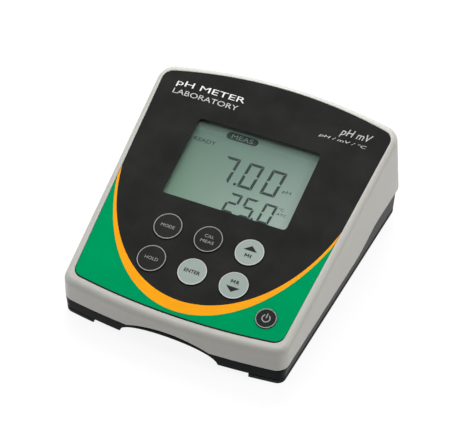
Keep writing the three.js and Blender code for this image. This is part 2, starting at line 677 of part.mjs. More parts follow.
function powerJack() {
  const shell = box(-5, 5, -5, 6.8, -14, -2.3).add(post(0, 0, -3, 0.8, 4.1, ROUND));
  const bore = post(0, 0, -9, 5, 2.9, ROUND);
  const pin = turned([[0, -0.6], [0.7, -0.6], [1.05, -1], [1.05, -9.5], [0, -9.5]], 8);
  return shell.subtract(bore).add(pin);
}

// ---- screws, drawn head down along +Z from the origin

function screw(headRadius, headHeight, shankRadius, length) {
  return turned([
    [0, length], [shankRadius * 0.4, length], [shankRadius, length - 1.5], [shankRadius, headHeight],
    [headRadius, headHeight], [headRadius, headHeight * 0.4], [headRadius * 0.8, 0],
    [headRadius * 0.35, 0], [headRadius * 0.3, headHeight * 0.5], [0, headHeight * 0.5],
  ], SMALL_ROUND);
}

// ---------------------------------------------------------------- assembly

part(meter, 'top_case', topCase(), 0xd3cfca, 0.5);
part(meter, 'bottom_case', bottomCase(), 0x1b1e20, 0.5);
part(meter, 'rear_panel', rearPanel(), 0x202224, 0.55);
for (const place of footPlaces()) {
  part(meter, place.name, foot(place), 0x121314, 0.9);
}

part(face, 'keypad_overlay', overlay(), 0x2a2a2a, 0.45);
part(face, 'keypad_spacer', spacer(), 0xd8d8d2, 0.6);
part(face, 'keypad_circuit', keypadCircuit(), 0xb9b49a, 0.5);
for (const { name, x, v, radius, light } of KEYS) {
  part(face, `key_${name}`, key(radius), light ? 0xa5b2ac : 0x2c2c2c, 0.45).position.set(x, v, 0);
  part(face, `dome_${name}`, dome(), 0xb8bcc0, 0.3, 1).position.set(x, v, 0);
}

part(face, 'display_window',
  displayPlate(WINDOW_GROW, LAYER.pocketFloor + 0.06, LAYER.spacerTop), 0xdfe8e4, 0.05);
part(face, 'display_bezel', displayBezel(), 0x161718, 0.6);
part(face, 'lcd_glass',
  displayPlate(GLASS_GROW, LAYER.glassBottom, LAYER.glassTop), 0x8ea498, 0.15);
part(face, 'lcd_reflector',
  displayPlate(0.2, LAYER.reflectorBottom, LAYER.reflectorTop), 0xb8bfb0, 0.4, 0.3);
for (const [end, v] of [['front', DISPLAY.front - 1.7], ['rear', DISPLAY.rear + 1.7]]) {
  part(face, `zebra_strip_${end}`, zebraStrip(v), 0x3a3d3f, 0.8);
}
part(face, 'display_board', displayBoard(), 0x1f5a38, 0.5);
for (const [side, sign] of [['left', -1], ['right', 1]]) {
  const mesh = part(face, `display_screw_${side}`, screw(2.4, 1.7, 1.1, 6.5), 0xb0b3b6, 0.35, 1);
  mesh.position.set(sign * DISPLAY_BOSS.x, DISPLAY_BOSS.v, LAYER.boardBottom - 1.75);
}

part(meter, 'main_board', mainBoard(), 0x1f5a38, 0.5);
part(meter, 'display_cable', displayCable(), 0x9a9da0, 0.6);
for (const [name, { x, y, half }] of [['display_socket', DISPLAY_SOCKET], ['keypad_socket', KEYPAD_SOCKET]]) {
  part(meter, name, cableSocket(x, y, half), 0xe4e0d2, 0.5);
}
part(meter, 'microcontroller', chip(16, -8, 7, 7, 1.6), 0x17181a, 0.5);
part(meter, 'voltage_regulator', chip(-38, 18, 3.3, 1.8, 1.6), 0x17181a, 0.5);
part(meter, 'input_shield', shieldCan(), 0xc0c3c5, 0.3, 1);
part(meter, 'crystal', crystalCan(), 0xc6c8ca, 0.3, 1);
part(meter, 'supply_capacitor', capacitor(), 0x23262e, 0.4);

part(meter, 'bnc_body', facingBack(bncBody(), BNC_X), 0xc3c6c8, 0.25, 1);
part(meter, 'bnc_insulator', facingBack(bncInsulator(), BNC_X), 0xeceae4, 0.5);
part(meter, 'bnc_contact', facingBack(bncContact(), BNC_X), 0xcfa85a, 0.25, 1);
part(meter, 'bnc_nut', facingBack(hexNut(15, 6.3, 0.1, 2.4), BNC_X), 0xc3c6c8, 0.25, 1);
part(meter, 'temperature_jack', facingBack(temperatureJack(), TEMPERATURE_X), 0x1a1b1d, 0.45);
part(meter, 'temperature_jack_nut',
  facingBack(hexNut(10.5, 4.1, 0.1, 2), TEMPERATURE_X), 0xc3c6c8, 0.25, 1);
part(meter, 'reference_jack', facingBack(referenceJack(), REFERENCE_X), 0xc9a45c, 0.3, 1);
part(meter, 'power_jack', facingBack(powerJack(), POWER_X), 0x1a1b1d, 0.45);

CASE_POSTS.forEach(([x, y], i) => {
  const mesh = part(meter, `case_screw_${i + 1}`, screw(3.1, 2, 1.5, 16), 0x8d9093, 0.35, 1);
  mesh.position.set(x, y, 3.4);
});
BOARD_POSTS.forEach(([x, y], i) => {
  const mesh = part(meter, `board_screw_${i + 1}`, screw(2.7, 1.8, 1.2, 9), 0xb0b3b6, 0.35, 1);
  mesh.rotation.x = Math.PI;
  mesh.position.set(x, y, BOARD.top + 1.9);
});

export default meter;
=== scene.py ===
# Looks of a bench pH meter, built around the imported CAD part. Lengths are millimetres, in the
# part's own coordinates: a plan (x, y) with heights z, and the tilted control face (x, v, n),
# where v runs up the slope and n stands out of it. Meshes are turned into metres when made.
# Materials are given by their names in MATERIALS.

import json
from contextlib import contextmanager
from math import atan, atan2, cos, hypot, pi, radians, sin, sqrt
from types import SimpleNamespace as Sizes

import bmesh
import bpy
import numpy as np
from mathutils import Matrix, Vector

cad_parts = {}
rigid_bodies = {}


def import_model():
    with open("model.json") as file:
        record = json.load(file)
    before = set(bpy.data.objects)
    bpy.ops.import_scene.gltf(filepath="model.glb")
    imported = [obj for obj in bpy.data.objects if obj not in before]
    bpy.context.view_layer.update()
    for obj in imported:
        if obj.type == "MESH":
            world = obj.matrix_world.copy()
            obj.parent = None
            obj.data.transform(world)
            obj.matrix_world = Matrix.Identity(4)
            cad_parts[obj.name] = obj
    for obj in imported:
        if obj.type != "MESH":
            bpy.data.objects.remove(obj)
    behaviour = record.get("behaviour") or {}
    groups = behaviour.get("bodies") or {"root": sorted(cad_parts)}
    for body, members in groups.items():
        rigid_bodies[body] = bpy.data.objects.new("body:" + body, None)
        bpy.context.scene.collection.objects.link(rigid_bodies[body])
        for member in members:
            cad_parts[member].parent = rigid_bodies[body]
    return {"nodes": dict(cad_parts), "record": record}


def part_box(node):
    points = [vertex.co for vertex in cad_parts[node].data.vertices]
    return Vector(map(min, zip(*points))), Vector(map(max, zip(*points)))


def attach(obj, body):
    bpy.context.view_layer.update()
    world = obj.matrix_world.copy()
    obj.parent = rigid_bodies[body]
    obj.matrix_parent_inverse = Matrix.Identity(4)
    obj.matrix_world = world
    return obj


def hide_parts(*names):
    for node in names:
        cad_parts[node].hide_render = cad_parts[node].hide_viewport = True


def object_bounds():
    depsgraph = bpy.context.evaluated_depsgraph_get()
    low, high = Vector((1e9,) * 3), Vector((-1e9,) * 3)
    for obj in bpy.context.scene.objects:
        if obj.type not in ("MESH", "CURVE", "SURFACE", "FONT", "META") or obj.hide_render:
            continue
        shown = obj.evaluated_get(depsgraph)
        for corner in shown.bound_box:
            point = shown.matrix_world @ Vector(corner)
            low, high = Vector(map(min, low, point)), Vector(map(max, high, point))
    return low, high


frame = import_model()
cad_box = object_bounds()
for thing in frame["nodes"].values():
    thing.data.materials.clear()
bpy.data.batch_remove(bpy.data.materials)

MM = 0.001
CASE_BODY = "case"

# ---- sizes that the CAD part has

FACE_TILT = radians(15)
FACE_HEIGHT = 47.1
CENTRING = 0.755
# A plan is symmetric: half its width at y = 0, how fast that grows with y, and for each end where
# its middle lies, the radius of its bow and the radius of its corners.
RIM_PLAN = {"half": 72.2, "flare": 0.058, "front": (-89.9, 425, 7.5), "rear": (79.2, 316, 10.5)}
WALL_PLAN = {"half": 72.65, "flare": 0.062, "front": (-88.5, 425, 7.5), "rear": (91.2, 316, 10.5)}
BASE_PLAN = {"half": 71.6, "flare": 0.062, "front": (-87.3, 425, 5), "rear": (82.7, 316, 8)}
OVERLAY_PLAN = {"half": 68, "flare": 0.0676, "front": (-84.3, 409, 6), "rear": (75.3, 270, 6.5)}
CASE_WALL, REAR_WALL_EXTRA, FACE_WALL = 2.5, 3.2, 3
RIM_SETBACK, RIM_MARGIN, RIM_RINGS, SEAM_ROUND = 3.5, 0.3, 13, 0.45
FIT = 0.3
SEAM = Sizes(front=11, rear=17.2, climb_start=10.8, climb_end=42.8)
CASE_ARCH = Sizes(half=25, rise=5.2)
GRIP_ARCH = Sizes(half=30, rise=11, depth=18, wall=2)
ARCH_END = -80
FOOT_HEIGHT, BASE_TOP, BASE_DRAFT = 2.8, 18, 0.5
BASE_ROUND, BASE_TOP_ROUND, PAD_ROUND = 0.9, 0.4, 0.5
PAD = {"x": 57, "front": -72, "rear": 64, "inner_x": 47.5, "front_end": -62, "rear_end": 53}
PAD_STRIP = Sizes(inner_x=64.2, gap=0.06)
BASE_FLOOR, BASE_WALL, LIP_INSET, LIP_RISE = 5.2, 5.4, 3.7, 2.5
OVERLAY_TOP, OVERLAY_BOTTOM, POCKET_FLOOR = -0.25, -0.75, -2.06
GLASS_TOP, GLASS_EDGE = -3.6, 5.5
KEY_TOP, KEY_FLANGE_TOP, KEY_FLANGE_BOTTOM, KEY_FLANGE = 0.25, -0.85, -1.05, 0.9
KEY_MARGIN, POWER_MARGIN = 0.3, 0.1
DISPLAY = (-38.3, 38.3, -13.8, 40.2)
OPENING_GROW = 2.2
CASE_POSTS = [(-58, -54), (58, -54), (-58, 46), (58, 46)]
BOARD_POSTS = [(-45, -30), (45, -30), (-45, 50), (45, 50)]
UPPER_POST = Sizes(radius=4.2, low=8.3, bore=1.75, bore_top=21)
LOWER_POST = Sizes(radius=5, top=8, bore=1.9, well=3.6, well_top=5.5)
BOARD_POST = Sizes(radius=3.5, top=19.9, bore=1.5)
BOARD_TOP = 21.6
PEG = Sizes(radius=2.5, hole=2.8)
PANEL = Sizes(half=46.5, bottom=15.2, top=43, face=74.4, thickness=2)
RECESS = Sizes(half=45, top=41, wall=2, corner=2, hood_corner=3.5)
LABEL = Sizes(half_x=26, half_y=18, depth=0.4)
SOCKET_Z = 29
SOCKET_X = {"ph": 27, "atc": 6, "ref": -11, "dc": -31}
FAR = 120


def moved(x, y, z):
    return Matrix.Translation((x, y, z))


def spun(angle, axis):
    return Matrix.Rotation(angle, 4, axis)


CENTRE = np.array([0, CENTRING, 0])
FACE_MATRIX = moved(0, CENTRING, FACE_HEIGHT) @ spun(FACE_TILT, "X")
METRES = Matrix.Scale(MM, 4)
FACE_PLACE = METRES @ FACE_MATRIX


# ---- plans, rings and solids

BOW_STEPS, CORNER_STEPS, SIDE_STEPS = 64, 10, 72


def arc(x, y, radius, start, end, steps):
    angles = np.linspace(start, end, steps + 1)
    return np.stack([x + radius * np.cos(angles), y + radius * np.sin(angles)], 1)


def plan_end(plan, end, inset):
    """Right half of an end of a plan that is moved in by inset: its bow and its corner."""
    place, bow, corner = plan[end]
    way = 1 if end == "rear" else -1
    radius = max(corner - inset, 1)
    reach = inset + radius
    half = plan["half"] - reach * hypot(1, plan["flare"])
    bow_centre = place - way * bow
    a = 1 + plan["flare"] ** 2
    b = 2 * (half * plan["flare"] - bow_centre)
    c = half**2 + bow_centre**2 - (bow - reach) ** 2
    y = (-b + way * sqrt(b * b - 4 * a * c)) / (2 * a)
    x = half + plan["flare"] * y
    angle, side = atan2(y - bow_centre, x), -atan(plan["flare"])
    bow_angles, corner_angles = (-pi / 2, angle), (angle, side)
    if end == "rear":
        bow_angles, corner_angles = (angle, pi / 2), (side, angle)
    return (arc(0, bow_centre, bow - inset, *bow_angles, BOW_STEPS),
            arc(x, y, radius, *corner_angles, CORNER_STEPS))


def outline(plan, inset=0.0):
    """Points of a plan moved in by inset, anticlockwise from the middle of the front."""
    front_bow, front_corner = plan_end(plan, "front", inset)
    rear_bow, rear_corner = plan_end(plan, "rear", inset)
    t = np.linspace(0, 1, SIDE_STEPS + 1)[1:-1, None]
    side = front_corner[-1] * (1 - t) + rear_corner[0] * t
    right = np.concatenate([front_bow, front_corner[1:], side, rear_corner, rear_bow[1:]])
    return np.concatenate([right, right[1:-1][::-1] * [-1, 1]])


def raised(points, z):
    return np.column_stack([points, np.broadcast_to(z, len(points))])


def level_ring(plan, inset, z):
    return raised(outline(plan, inset), z)


def to_world(points):
    """Face coordinates (x, v, n) in plan millimetres (x, y, z)."""
    x, v, n = np.asarray(points, float).T
    c, s = cos(FACE_TILT), sin(FACE_TILT)
    return np.stack([x, v * c - n * s, FACE_HEIGHT + v * s + n * c], 1)


def face_ring(plan, inset, n):
    return to_world(raised(outline(plan, inset), n))


def unit(vectors):
    return vectors / np.linalg.norm(vectors, axis=1, keepdims=True)


def mesh_object(name, points, faces, *materials):
    """A mesh object from plan millimetres."""
    mesh = bpy.data.meshes.new(name)
    mesh.from_pydata(((np.asarray(points) + CENTRE) * MM).tolist(), [], faces)
    return linked(name, mesh, *materials)


def linked(name, mesh, *materials):
    for material in materials:
        mesh.materials.append(MATERIALS[material])
    return in_scene(name, mesh)


def in_scene(name, data):
    thing = bpy.data.objects.new(name, data)
    bpy.context.scene.collection.objects.link(thing)
    return thing


def loft(name, rings, *materials):
    """Closed skin through rings of equal length, lowest ring first, capped at both ends."""
    count = len(rings[0])
    points = np.concatenate([*rings, [rings[0].mean(0)], [rings[-1].mean(0)]])
    low, high, last = len(points) - 2, len(points) - 1, (len(rings) - 1) * count
    steps = [(i, (i + 1) % count) for i in range(count)]
    faces = [(start + a, start + b, start + b + count, start + a + count)
             for start in range(0, last, count) for a, b in steps]
    for a, b in steps:
        faces += [(low, b, a), (high, last + a, last + b)]
    return mesh_object(name, points, faces, *materials)


def prism(name, section, start, end, *materials):
    """Solid with an (x, z) section, from one y to another."""
    x, z = section.T
    rings = [np.column_stack([x, np.full(len(x), y), z]) for y in (end, start)]
    return loft(name, rings, *materials)


def rectangle(x0, x1, y0, y1):
    return np.array([(x0, y0), (x1, y0), (x1, y1), (x0, y1)], float)


def upright(name, edge, z0, z1, *materials):
    """Solid with straight walls between two heights."""
    return loft(name, [raised(edge, z0), raised(edge, z1)], *materials)


def block(name, x0, x1, y0, y1, z0, z1, *materials):
    return upright(name, rectangle(x0, x1, y0, y1), z0, z1, *materials)


def posts(places, z0, z1, radius, sides=32):
    """Upright cylinders at (x, y) places."""
    return [upright("post", circle(x, y, radius, sides), z0, z1) for x, y in places]


def six_faced(name, low, high, *materials):
    """Mesh from the four corners of its low end and of its high end, in its own millimetres."""
    faces = [(3, 2, 1, 0), (4, 5, 6, 7)]
    faces += [(i, (i + 1) % 4, (i + 1) % 4 + 4, i + 4) for i in range(4)]
    mesh = bpy.data.meshes.new(name)
    mesh.from_pydata([*low, *high], [], faces)
    return linked(name, mesh, *materials)


def evaluated_mesh(thing):
    bpy.context.view_layer.update()
    evaluated = thing.evaluated_get(bpy.context.evaluated_depsgraph_get())
    return bpy.data.meshes.new_from_object(evaluated)


def combine(target, other, operation):
    """Cuts or joins with another closed mesh, which is used up."""
    other.data.materials.clear()
    for material in target.data.materials:
        other.data.materials.append(material)
    modifier = target.modifiers.new("combine", "BOOLEAN")
    modifier.operation = operation
    modifier.solver = "MANIFOLD"
    modifier.object = other
    mesh = evaluated_mesh(target)
    target.modifiers.clear()
    target.data = mesh
    bpy.data.objects.remove(other)
    return target


def cut(target, *others):
    for other in others:
        combine(target, other, "DIFFERENCE")
    return target


def join(target, *others):
    for other in others:
        combine(target, other, "UNION")
    return target


@contextmanager
def editing(thing):
    mesh = bmesh.new()
    mesh.from_mesh(thing.data)
    yield mesh
    mesh.to_mesh(thing.data)
    mesh.free()


def soften(thing, width, chosen, segments=3, sharp=35):
    """Rounds the sharp edges whose middles pass the test, given in plan millimetres."""
    with editing(thing) as mesh:
        edges = []
        for edge in mesh.edges:
            middle = (edge.verts[0].co + edge.verts[1].co) / 2 / MM - Vector(CENTRE)
            if edge.calc_face_angle(0) > radians(sharp) and chosen(middle):
                edges.append(edge)
        bmesh.ops.bevel(mesh, geom=edges, offset=width * MM, segments=segments, profile=0.5,
                        affect="EDGES", clamp_overlap=True)
    return thing


FLAT_AREA, MERGE_ANGLE, CREASE_ANGLE = 200, 0.05, 32


def merge_flat(thing):
    """Merges coplanar neighbours, so that flat areas have no stray edges or folded slivers."""
    with editing(thing) as mesh:
        folded = [edge for edge in mesh.edges if edge.calc_face_angle(0) > radians(179)]
        bmesh.ops.dissolve_edges(mesh, edges=folded, use_verts=True)
        bmesh.ops.dissolve_limit(mesh, angle_limit=radians(MERGE_ANGLE), verts=mesh.verts,
                                 edges=mesh.edges)
    return thing


def smooth(thing):
    """Smooth shading that keeps real edges sharp and flat areas flat."""
    thing.data.shade_smooth()
    thing.data.set_sharp_from_angle(angle=radians(CREASE_ANGLE))
    for polygon in thing.data.polygons:
        flat = polygon.area > FLAT_AREA * MM**2 or polygon.normal.z < -0.99999
        polygon.use_smooth = not flat
    weighted = thing.modifiers.new("flat_areas", "WEIGHTED_NORMAL")
    weighted.keep_sharp = True
    return thing


# ---- camera, floor and light

CAMERA = Sizes(azimuth=0.420976, elevation=0.781153, roll=0.0021959, distance=823.677,
               target=(2.183, -3.922, 31.423), focal=111.526, sensor=36)


def add_camera():
    azimuth, elevation, roll = CAMERA.azimuth, CAMERA.elevation, CAMERA.roll
    back = Vector((sin(azimuth) * cos(elevation), -cos(azimuth) * cos(elevation), sin(elevation)))
    right = Vector((0, 0, 1)).cross(back).normalized()
    turn = Matrix((right, back.cross(right), back)).transposed()
    data = bpy.data.cameras.new("camera")
    data.lens = CAMERA.focal
    data.sensor_width = CAMERA.sensor
    camera = in_scene("camera", data)
    place = (Vector(CAMERA.target) + back * CAMERA.distance) * MM
    camera.matrix_world = Matrix.Translation(place) @ (turn @ Matrix.Rotation(roll, 3, "Z")).to_4x4()
    bpy.context.scene.camera = camera


# Place and side in metres, power in watts, colour if it is not white.
LIGHTS = {
    "back_left": ((-0.35, 1.0, 1.05), 1.0, 31),
    "overhead": ((0.15, -0.1, 1.3), 0.8, 5.2),
    "right_side": ((1.2, 0.15, 0.9), 0.7, 9.5, (1, 0.99, 0.96)),
    "front_left": ((-0.85, -0.45, 0.3), 0.3, 3),
}
SKY_COLOUR, SKY_SLOPE, SKY_STRENGTH = (0.95, 0.98, 1, 1), (-0.32, 0.28, 0.9), 0.3
FLOOR_GLOW, FLOOR_HALF = 0.89, 3000


def add_light(name, place, size, power, colour=(1, 1, 1)):
    """Square soft light that faces the middle of the object."""
    data = bpy.data.lights.new(name, "AREA")
    data.size = size
    data.energy = power
    data.color = colour
    aim = Vector((0, 0, 0.03)) - Vector(place)
    turn = aim.to_track_quat("-Z", "Y").to_matrix().to_4x4()
    in_scene(name, data).matrix_world = Matrix.Translation(place) @ turn


def add_studio():
    scene = bpy.context.scene
    scene.view_settings.view_transform = "Standard"
    scene.world = world = bpy.data.worlds.new("studio")
    world.use_nodes = True
    sky = world.node_tree.nodes["Background"].inputs
    slope = along(world, coordinates(world, "Generated"), SKY_SLOPE)
    give(world, sky["Color"], SKY_COLOUR)
    give(world, sky["Strength"], spread(world, slope, 0, SKY_STRENGTH, (0, 1)))
    for name, values in LIGHTS.items():
        add_light(name, *values)
    paper = grain(shaded("paper", (0.1, 0.1, 0.1), 0.9, 0, 0.1), size=3, bump=0.02, mottle=0.01)
    surface(paper, Emission_Color=(1, 1, 1), Emission_Strength=FLOOR_GLOW)
    corners = rectangle(-FLOOR_HALF, FLOOR_HALF, -FLOOR_HALF, FLOOR_HALF)
    floor = mesh_object("floor", raised(corners, 0), [(0, 1, 2, 3)])
    floor.data.materials.append(paper)


# ---- materials


def give(material, socket, value):
    """Links an output to an input, or sets the input's value."""
    if isinstance(value, bpy.types.NodeSocket):
        material.node_tree.links.new(value, socket)
    elif socket.type == "RGBA" and len(value) == 3:
        socket.default_value = (*value, 1)
    else:
        socket.default_value = value


def node(material, kind, *sources, **values):
    """Adds a node. Its first inputs are given in order, where None leaves one as it is, and its
    properties and other inputs by name."""
    made = material.node_tree.nodes.new("ShaderNode" + kind)
    for key, value in values.items():
        if hasattr(made, key):
            setattr(made, key, value)
        else:
            give(material, made.inputs[key.replace("_", " ")], value)
    for socket, value in zip(made.inputs, sources):
        if value is not None:
            give(material, socket, value)
    return made


def surface(material, **values):
    """Gives inputs of the material's shader by name."""
    inputs = material.node_tree.nodes["Principled BSDF"].inputs
    for key, value in values.items():
        give(material, inputs[key.replace("_", " ")], value)
    return material


def shaded(name, colour, roughness, metallic=0.0, specular=0.5):
    material = bpy.data.materials.new(name)
    material.use_nodes = True
    return surface(material, Base_Color=colour, Roughness=roughness, Metallic=metallic,
                   Specular_IOR_Level=specular)


def coordinates(material, kind="Object"):
    return node(material, "TexCoord").outputs[kind]


def along(material, places, direction):
    """How far places lie in a direction."""
    return node(material, "VectorMath", places, direction,
                operation="DOT_PRODUCT").outputs["Value"]


def noise(material, size, detail=3.0):
    """Noise with features of about size millimetres, in the row frame."""
    return node(material, "TexNoise", coordinates(material), Scale=1 / (size * MM),
                Detail=detail).outputs[0]


def spread(material, source, low, high, span=(0.3, 0.7)):
    """Maps a span of a pattern onto a range of values."""
    return node(material, "MapRange", source, *span, low, high).outputs[0]


def mix(material, factor, first, second, blend="MIX"):
    """Mix of two colours, which are the node's last two inputs."""
    return node(material, "Mix", factor, *[None] * 5, first, second, data_type="RGBA",
                blend_type=blend).outputs[2]


def bumps(material, pattern, strength, height):
    """Relief from a pattern, its height in millimetres."""
    return node(material, "Bump", Strength=strength, Distance=height * MM,
                Height=pattern).outputs[0]


def grain(material, size=0.4, bump=0.1, mottle=0.04, gloss=0.06, patch=18):
    """Fine texture: small bumps, uneven gloss and a slow drift in colour."""
    inputs = material.node_tree.nodes["Principled BSDF"].inputs
    base = tuple(inputs["Base Color"].default_value)[:3]
    roughness = inputs["Roughness"].default_value
    fine, slow = noise(material, size, 4), noise(material, patch, 2)
    dark = tuple(c * (1 - mottle) for c in base)
    light = tuple(min(c * (1 + mottle), 1) for c in base)
    drift = mix(material, spread(material, slow, 0, 1), dark, light)
    speck = mix(material, spread(material, fine, 0, 1), (1 - mottle,) * 3, (1, 1, 1))
    uneven = spread(material, fine, max(roughness - gloss, 0.02), min(roughness + gloss, 1))
    return surface(material, Base_Color=mix(material, 1, drift, speck, "MULTIPLY"), Roughness=uneven,
                   Normal=bumps(material, fine, bump, size))


def plastic(name, colour, roughness, size=0.4, bump=0.12, mottle=0.03, specular=0.5):
    return grain(shaded(name, colour, roughness, 0, specular), size, bump, mottle)


def metal(name, colour, roughness):
    return grain(shaded(name, colour, roughness, 1), 0.15, 0.05, 0.06, 0.08, 4)


def clear_window():
    """Clear sheet: mostly see-through, with a sheen that grows at low angles."""
    material = shaded("clear_window", (0.02, 0.02, 0.02), 0.08)
    surface(material, Roughness=spread(material, noise(material, 9, 2), 0.05, 0.12))
    nodes = material.node_tree.nodes
    through = node(material, "BsdfTransparent", (0.97, 0.985, 0.98))
    facing = node(material, "LayerWeight", 0.5).outputs["Facing"]
    steep = node(material, "Math", facing, 4, operation="POWER").outputs[0]
    sheen = spread(material, steep, 0.025, 0.6, (0, 1))
    blend = node(material, "MixShader", sheen, through.outputs[0],
                 nodes["Principled BSDF"].outputs[0])
    give(material, nodes["Material Output"].inputs["Surface"], blend.outputs[0])
    return material


def lcd_glass():
    """Green-grey display with painted shade and light: darker up the slope, lighter and cooler to the
    right, pale at the far edge.
    """
    material = shaded("lcd_glass", (0.2, 0.3, 0.24), 0.4, 0, 0.08)
    places = coordinates(material)
    height = along(material, places, (0, cos(FACE_TILT), sin(FACE_TILT)))
    across = node(material, "SeparateXYZ", places).outputs[0]
    lift = (FACE_HEIGHT * sin(FACE_TILT)) * MM
    x0, x1, v0, v1 = DISPLAY
    up = spread(material, height, 0, 1, (lift + v0 * MM, lift + v1 * MM))
    right = spread(material, across, 0, 1, (x0 * MM, x1 * MM))
    # Painted shading: the glass is drawn darker up the slope and lighter to the right, as the light
    # falls on it.
    left_side = mix(material, up, (0.165, 0.255, 0.19), (0.12, 0.18, 0.147))
    right_side = mix(material, up, (0.355, 0.42, 0.385), (0.15, 0.212, 0.185))
    # Painted light: a pale band at the far edge lifts the shadow that the far wall casts on the glass.
    edge = spread(material, height, 0, 0.65, (lift + (v1 - GLASS_EDGE) * MM, lift + v1 * MM))
    colour = mix(material, edge, mix(material, right, left_side, right_side), (0.26, 0.35, 0.305))
    return surface(material, Base_Color=colour,
                   Roughness=spread(material, noise(material, 0.25, 2), 0.3, 0.42))


def circuit_board():
    """Green solder mask over copper tracks."""
    material = shaded("circuit_board", (0.02, 0.12, 0.05), 0.35)
    tracks = node(material, "TexBrick", coordinates(material), offset=0.5, squash=1.0,
                  Scale=120.0, Mortar_Size=0.03).outputs["Fac"]
    return surface(material, Base_Color=mix(material, tracks, (0.02, 0.13, 0.055), (0.03, 0.2, 0.09)),
                   Roughness=spread(material, noise(material, 3), 0.28, 0.42),
                   Normal=bumps(material, tracks, 0.25, 0.05))


def striped_cable():
    """Flat cable with a shallow groove between its wires."""
    material = shaded("ribbon_cable", (0.3, 0.31, 0.32), 0.5)
    wires = node(material, "TexWave", coordinates(material), bands_direction="X", Scale=250.0)
    colour = mix(material, wires.outputs[0], (0.2, 0.21, 0.22), (0.4, 0.41, 0.42))
    return surface(material, Base_Color=colour, Normal=bumps(material, wires.outputs[1], 0.6, 0.2))


# Colour, roughness and, where a plastic is not like plastic()'s own values: size of the grain,
# bump, mottle, specular.
PLASTICS = {
    "case_plastic": ((0.405, 0.398, 0.37), 0.42, 0.5, 0.10, 0.02, 0.3),
    "base_plastic": ((0.0045, 0.006, 0.0065), 0.34, 0.6, 0.12, 0.08, 0.04),
    "panel_plastic": ((0.014, 0.015, 0.016), 0.55, 0.5, 0.25, 0.08),
    "foot_rubber": ((0.012, 0.0125, 0.013), 0.85, 0.9, 0.4, 0.1, 0.25),
    "overlay_film": ((0.0205, 0.0205, 0.02), 0.55, 0.55, 0.25, 0.16, 0.0),
    "green_print": ((0.0, 0.242, 0.086), 0.5, 0.55, 0.2, 0.03, 0.0),
    "orange_print": ((0.75, 0.295, 0.0045), 0.5, 0.55, 0.2, 0.03, 0.04),
    "pale_print": ((0.44, 0.45, 0.44), 0.5, 0.4, 0.1, 0.05, 0.1),
    "ring_print": ((0.25, 0.255, 0.25), 0.5, 0.4, 0.1, 0.05, 0.1),
    "white_print": ((0.62, 0.62, 0.6), 0.5, 0.4, 0.1, 0.05),
    "dark_print": ((0.018, 0.02, 0.02), 0.5, 0.4, 0.1, 0.05, 0.03),
    "key_dark": ((0.02, 0.02, 0.0195), 0.48, 0.5, 0.22, 0.14, 0.02),
    "key_light": ((0.255, 0.302, 0.278), 0.48, 0.5, 0.15, 0.03, 0.12),
    "label_foil": ((0.42, 0.43, 0.44), 0.38, 0.3, 0.05, 0.05),
    "spacer_film": ((0.6, 0.6, 0.55), 0.5),
    "circuit_film": ((0.45, 0.4, 0.25), 0.4),
    "bezel_plastic": ((0.14, 0.155, 0.15), 0.55, 0.5, 0.15, 0.08, 0.2),
    "lcd_segment": ((0.036, 0.05, 0.05), 0.45, 0.3, 0.02, 0.05, 0.1),
    "zebra_rubber": ((0.04, 0.045, 0.05), 0.8),
    "chip_plastic": ((0.012, 0.012, 0.013), 0.5, 0.2, 0.2, 0.1),
    "connector_plastic": ((0.75, 0.7, 0.58), 0.45),
    "capacitor_sleeve": ((0.015, 0.02, 0.045), 0.35),
    "white_insulator": ((0.8, 0.79, 0.76), 0.45, 0.4, 0.05),
    "jack_plastic": ((0.012, 0.012, 0.013), 0.38, 0.3, 0.1, 0.08),
}
METALS = {
    "dome_steel": ((0.6, 0.61, 0.62), 0.28),
    "reflector_film": ((0.55, 0.58, 0.5), 0.45),
    "tinned_can": ((0.62, 0.63, 0.64), 0.32),
    "nickel_plate": ((0.66, 0.65, 0.62), 0.22),
    "gold_contact": ((0.83, 0.6, 0.24), 0.22),
    "brass_socket": ((0.72, 0.52, 0.22), 0.3),
    "screw_steel": ((0.5, 0.5, 0.5), 0.34),
}
MATERIALS = {name: plastic(name, *values) for name, values in PLASTICS.items()}
MATERIALS |= {name: metal(name, *values) for name, values in METALS.items()}
MATERIALS |= {made.name: made for made in (
    clear_window(), lcd_glass(), circuit_board(), striped_cable())}


def placed(thing, slot, *nodes, body=CASE_BODY):
    """Rides on its body and stands for its CAD nodes, which it hides. The slot is not used."""
    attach(thing, body)
    if nodes:
        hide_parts(*nodes)
    return thing


def dress_cad_nodes():
    """The CAD nodes that stay take the finish of their slot in the record."""
    slot_of = {entry["node"]: entry["material_slot"] for entry in frame["record"]["subparts"]}
    for name, thing in frame["nodes"].items():
        thing.data.materials.append(MATERIALS[slot_of[name]])


# ---- the two shells


def seam_height(x, y):
    """Height of the parting line: level, then climbing along the sides, with the front arch."""
    t = np.clip((y - SEAM.climb_start) / (SEAM.climb_end - SEAM.climb_start), 0, 1)
    level = SEAM.front + (SEAM.rear - SEAM.front) * t * t * (3 - 2 * t)
    half, rise = CASE_ARCH.half, CASE_ARCH.rise
    radius = (half**2 + rise**2) / (2 * rise)
    arch = SEAM.front + rise - radius + np.sqrt(np.maximum(radius**2 - x**2, 0))
    return np.where((y < ARCH_END) & (np.abs(x) < half), np.maximum(arch, level), level)


def quarter_round(radius):
    """(inset, rise) pairs around a convex edge, from the level face to the wall."""
    angles = np.linspace(0, pi / 2, 4)
    return [(radius * (1 - sin(a)), radius * (1 - cos(a))) for a in angles]


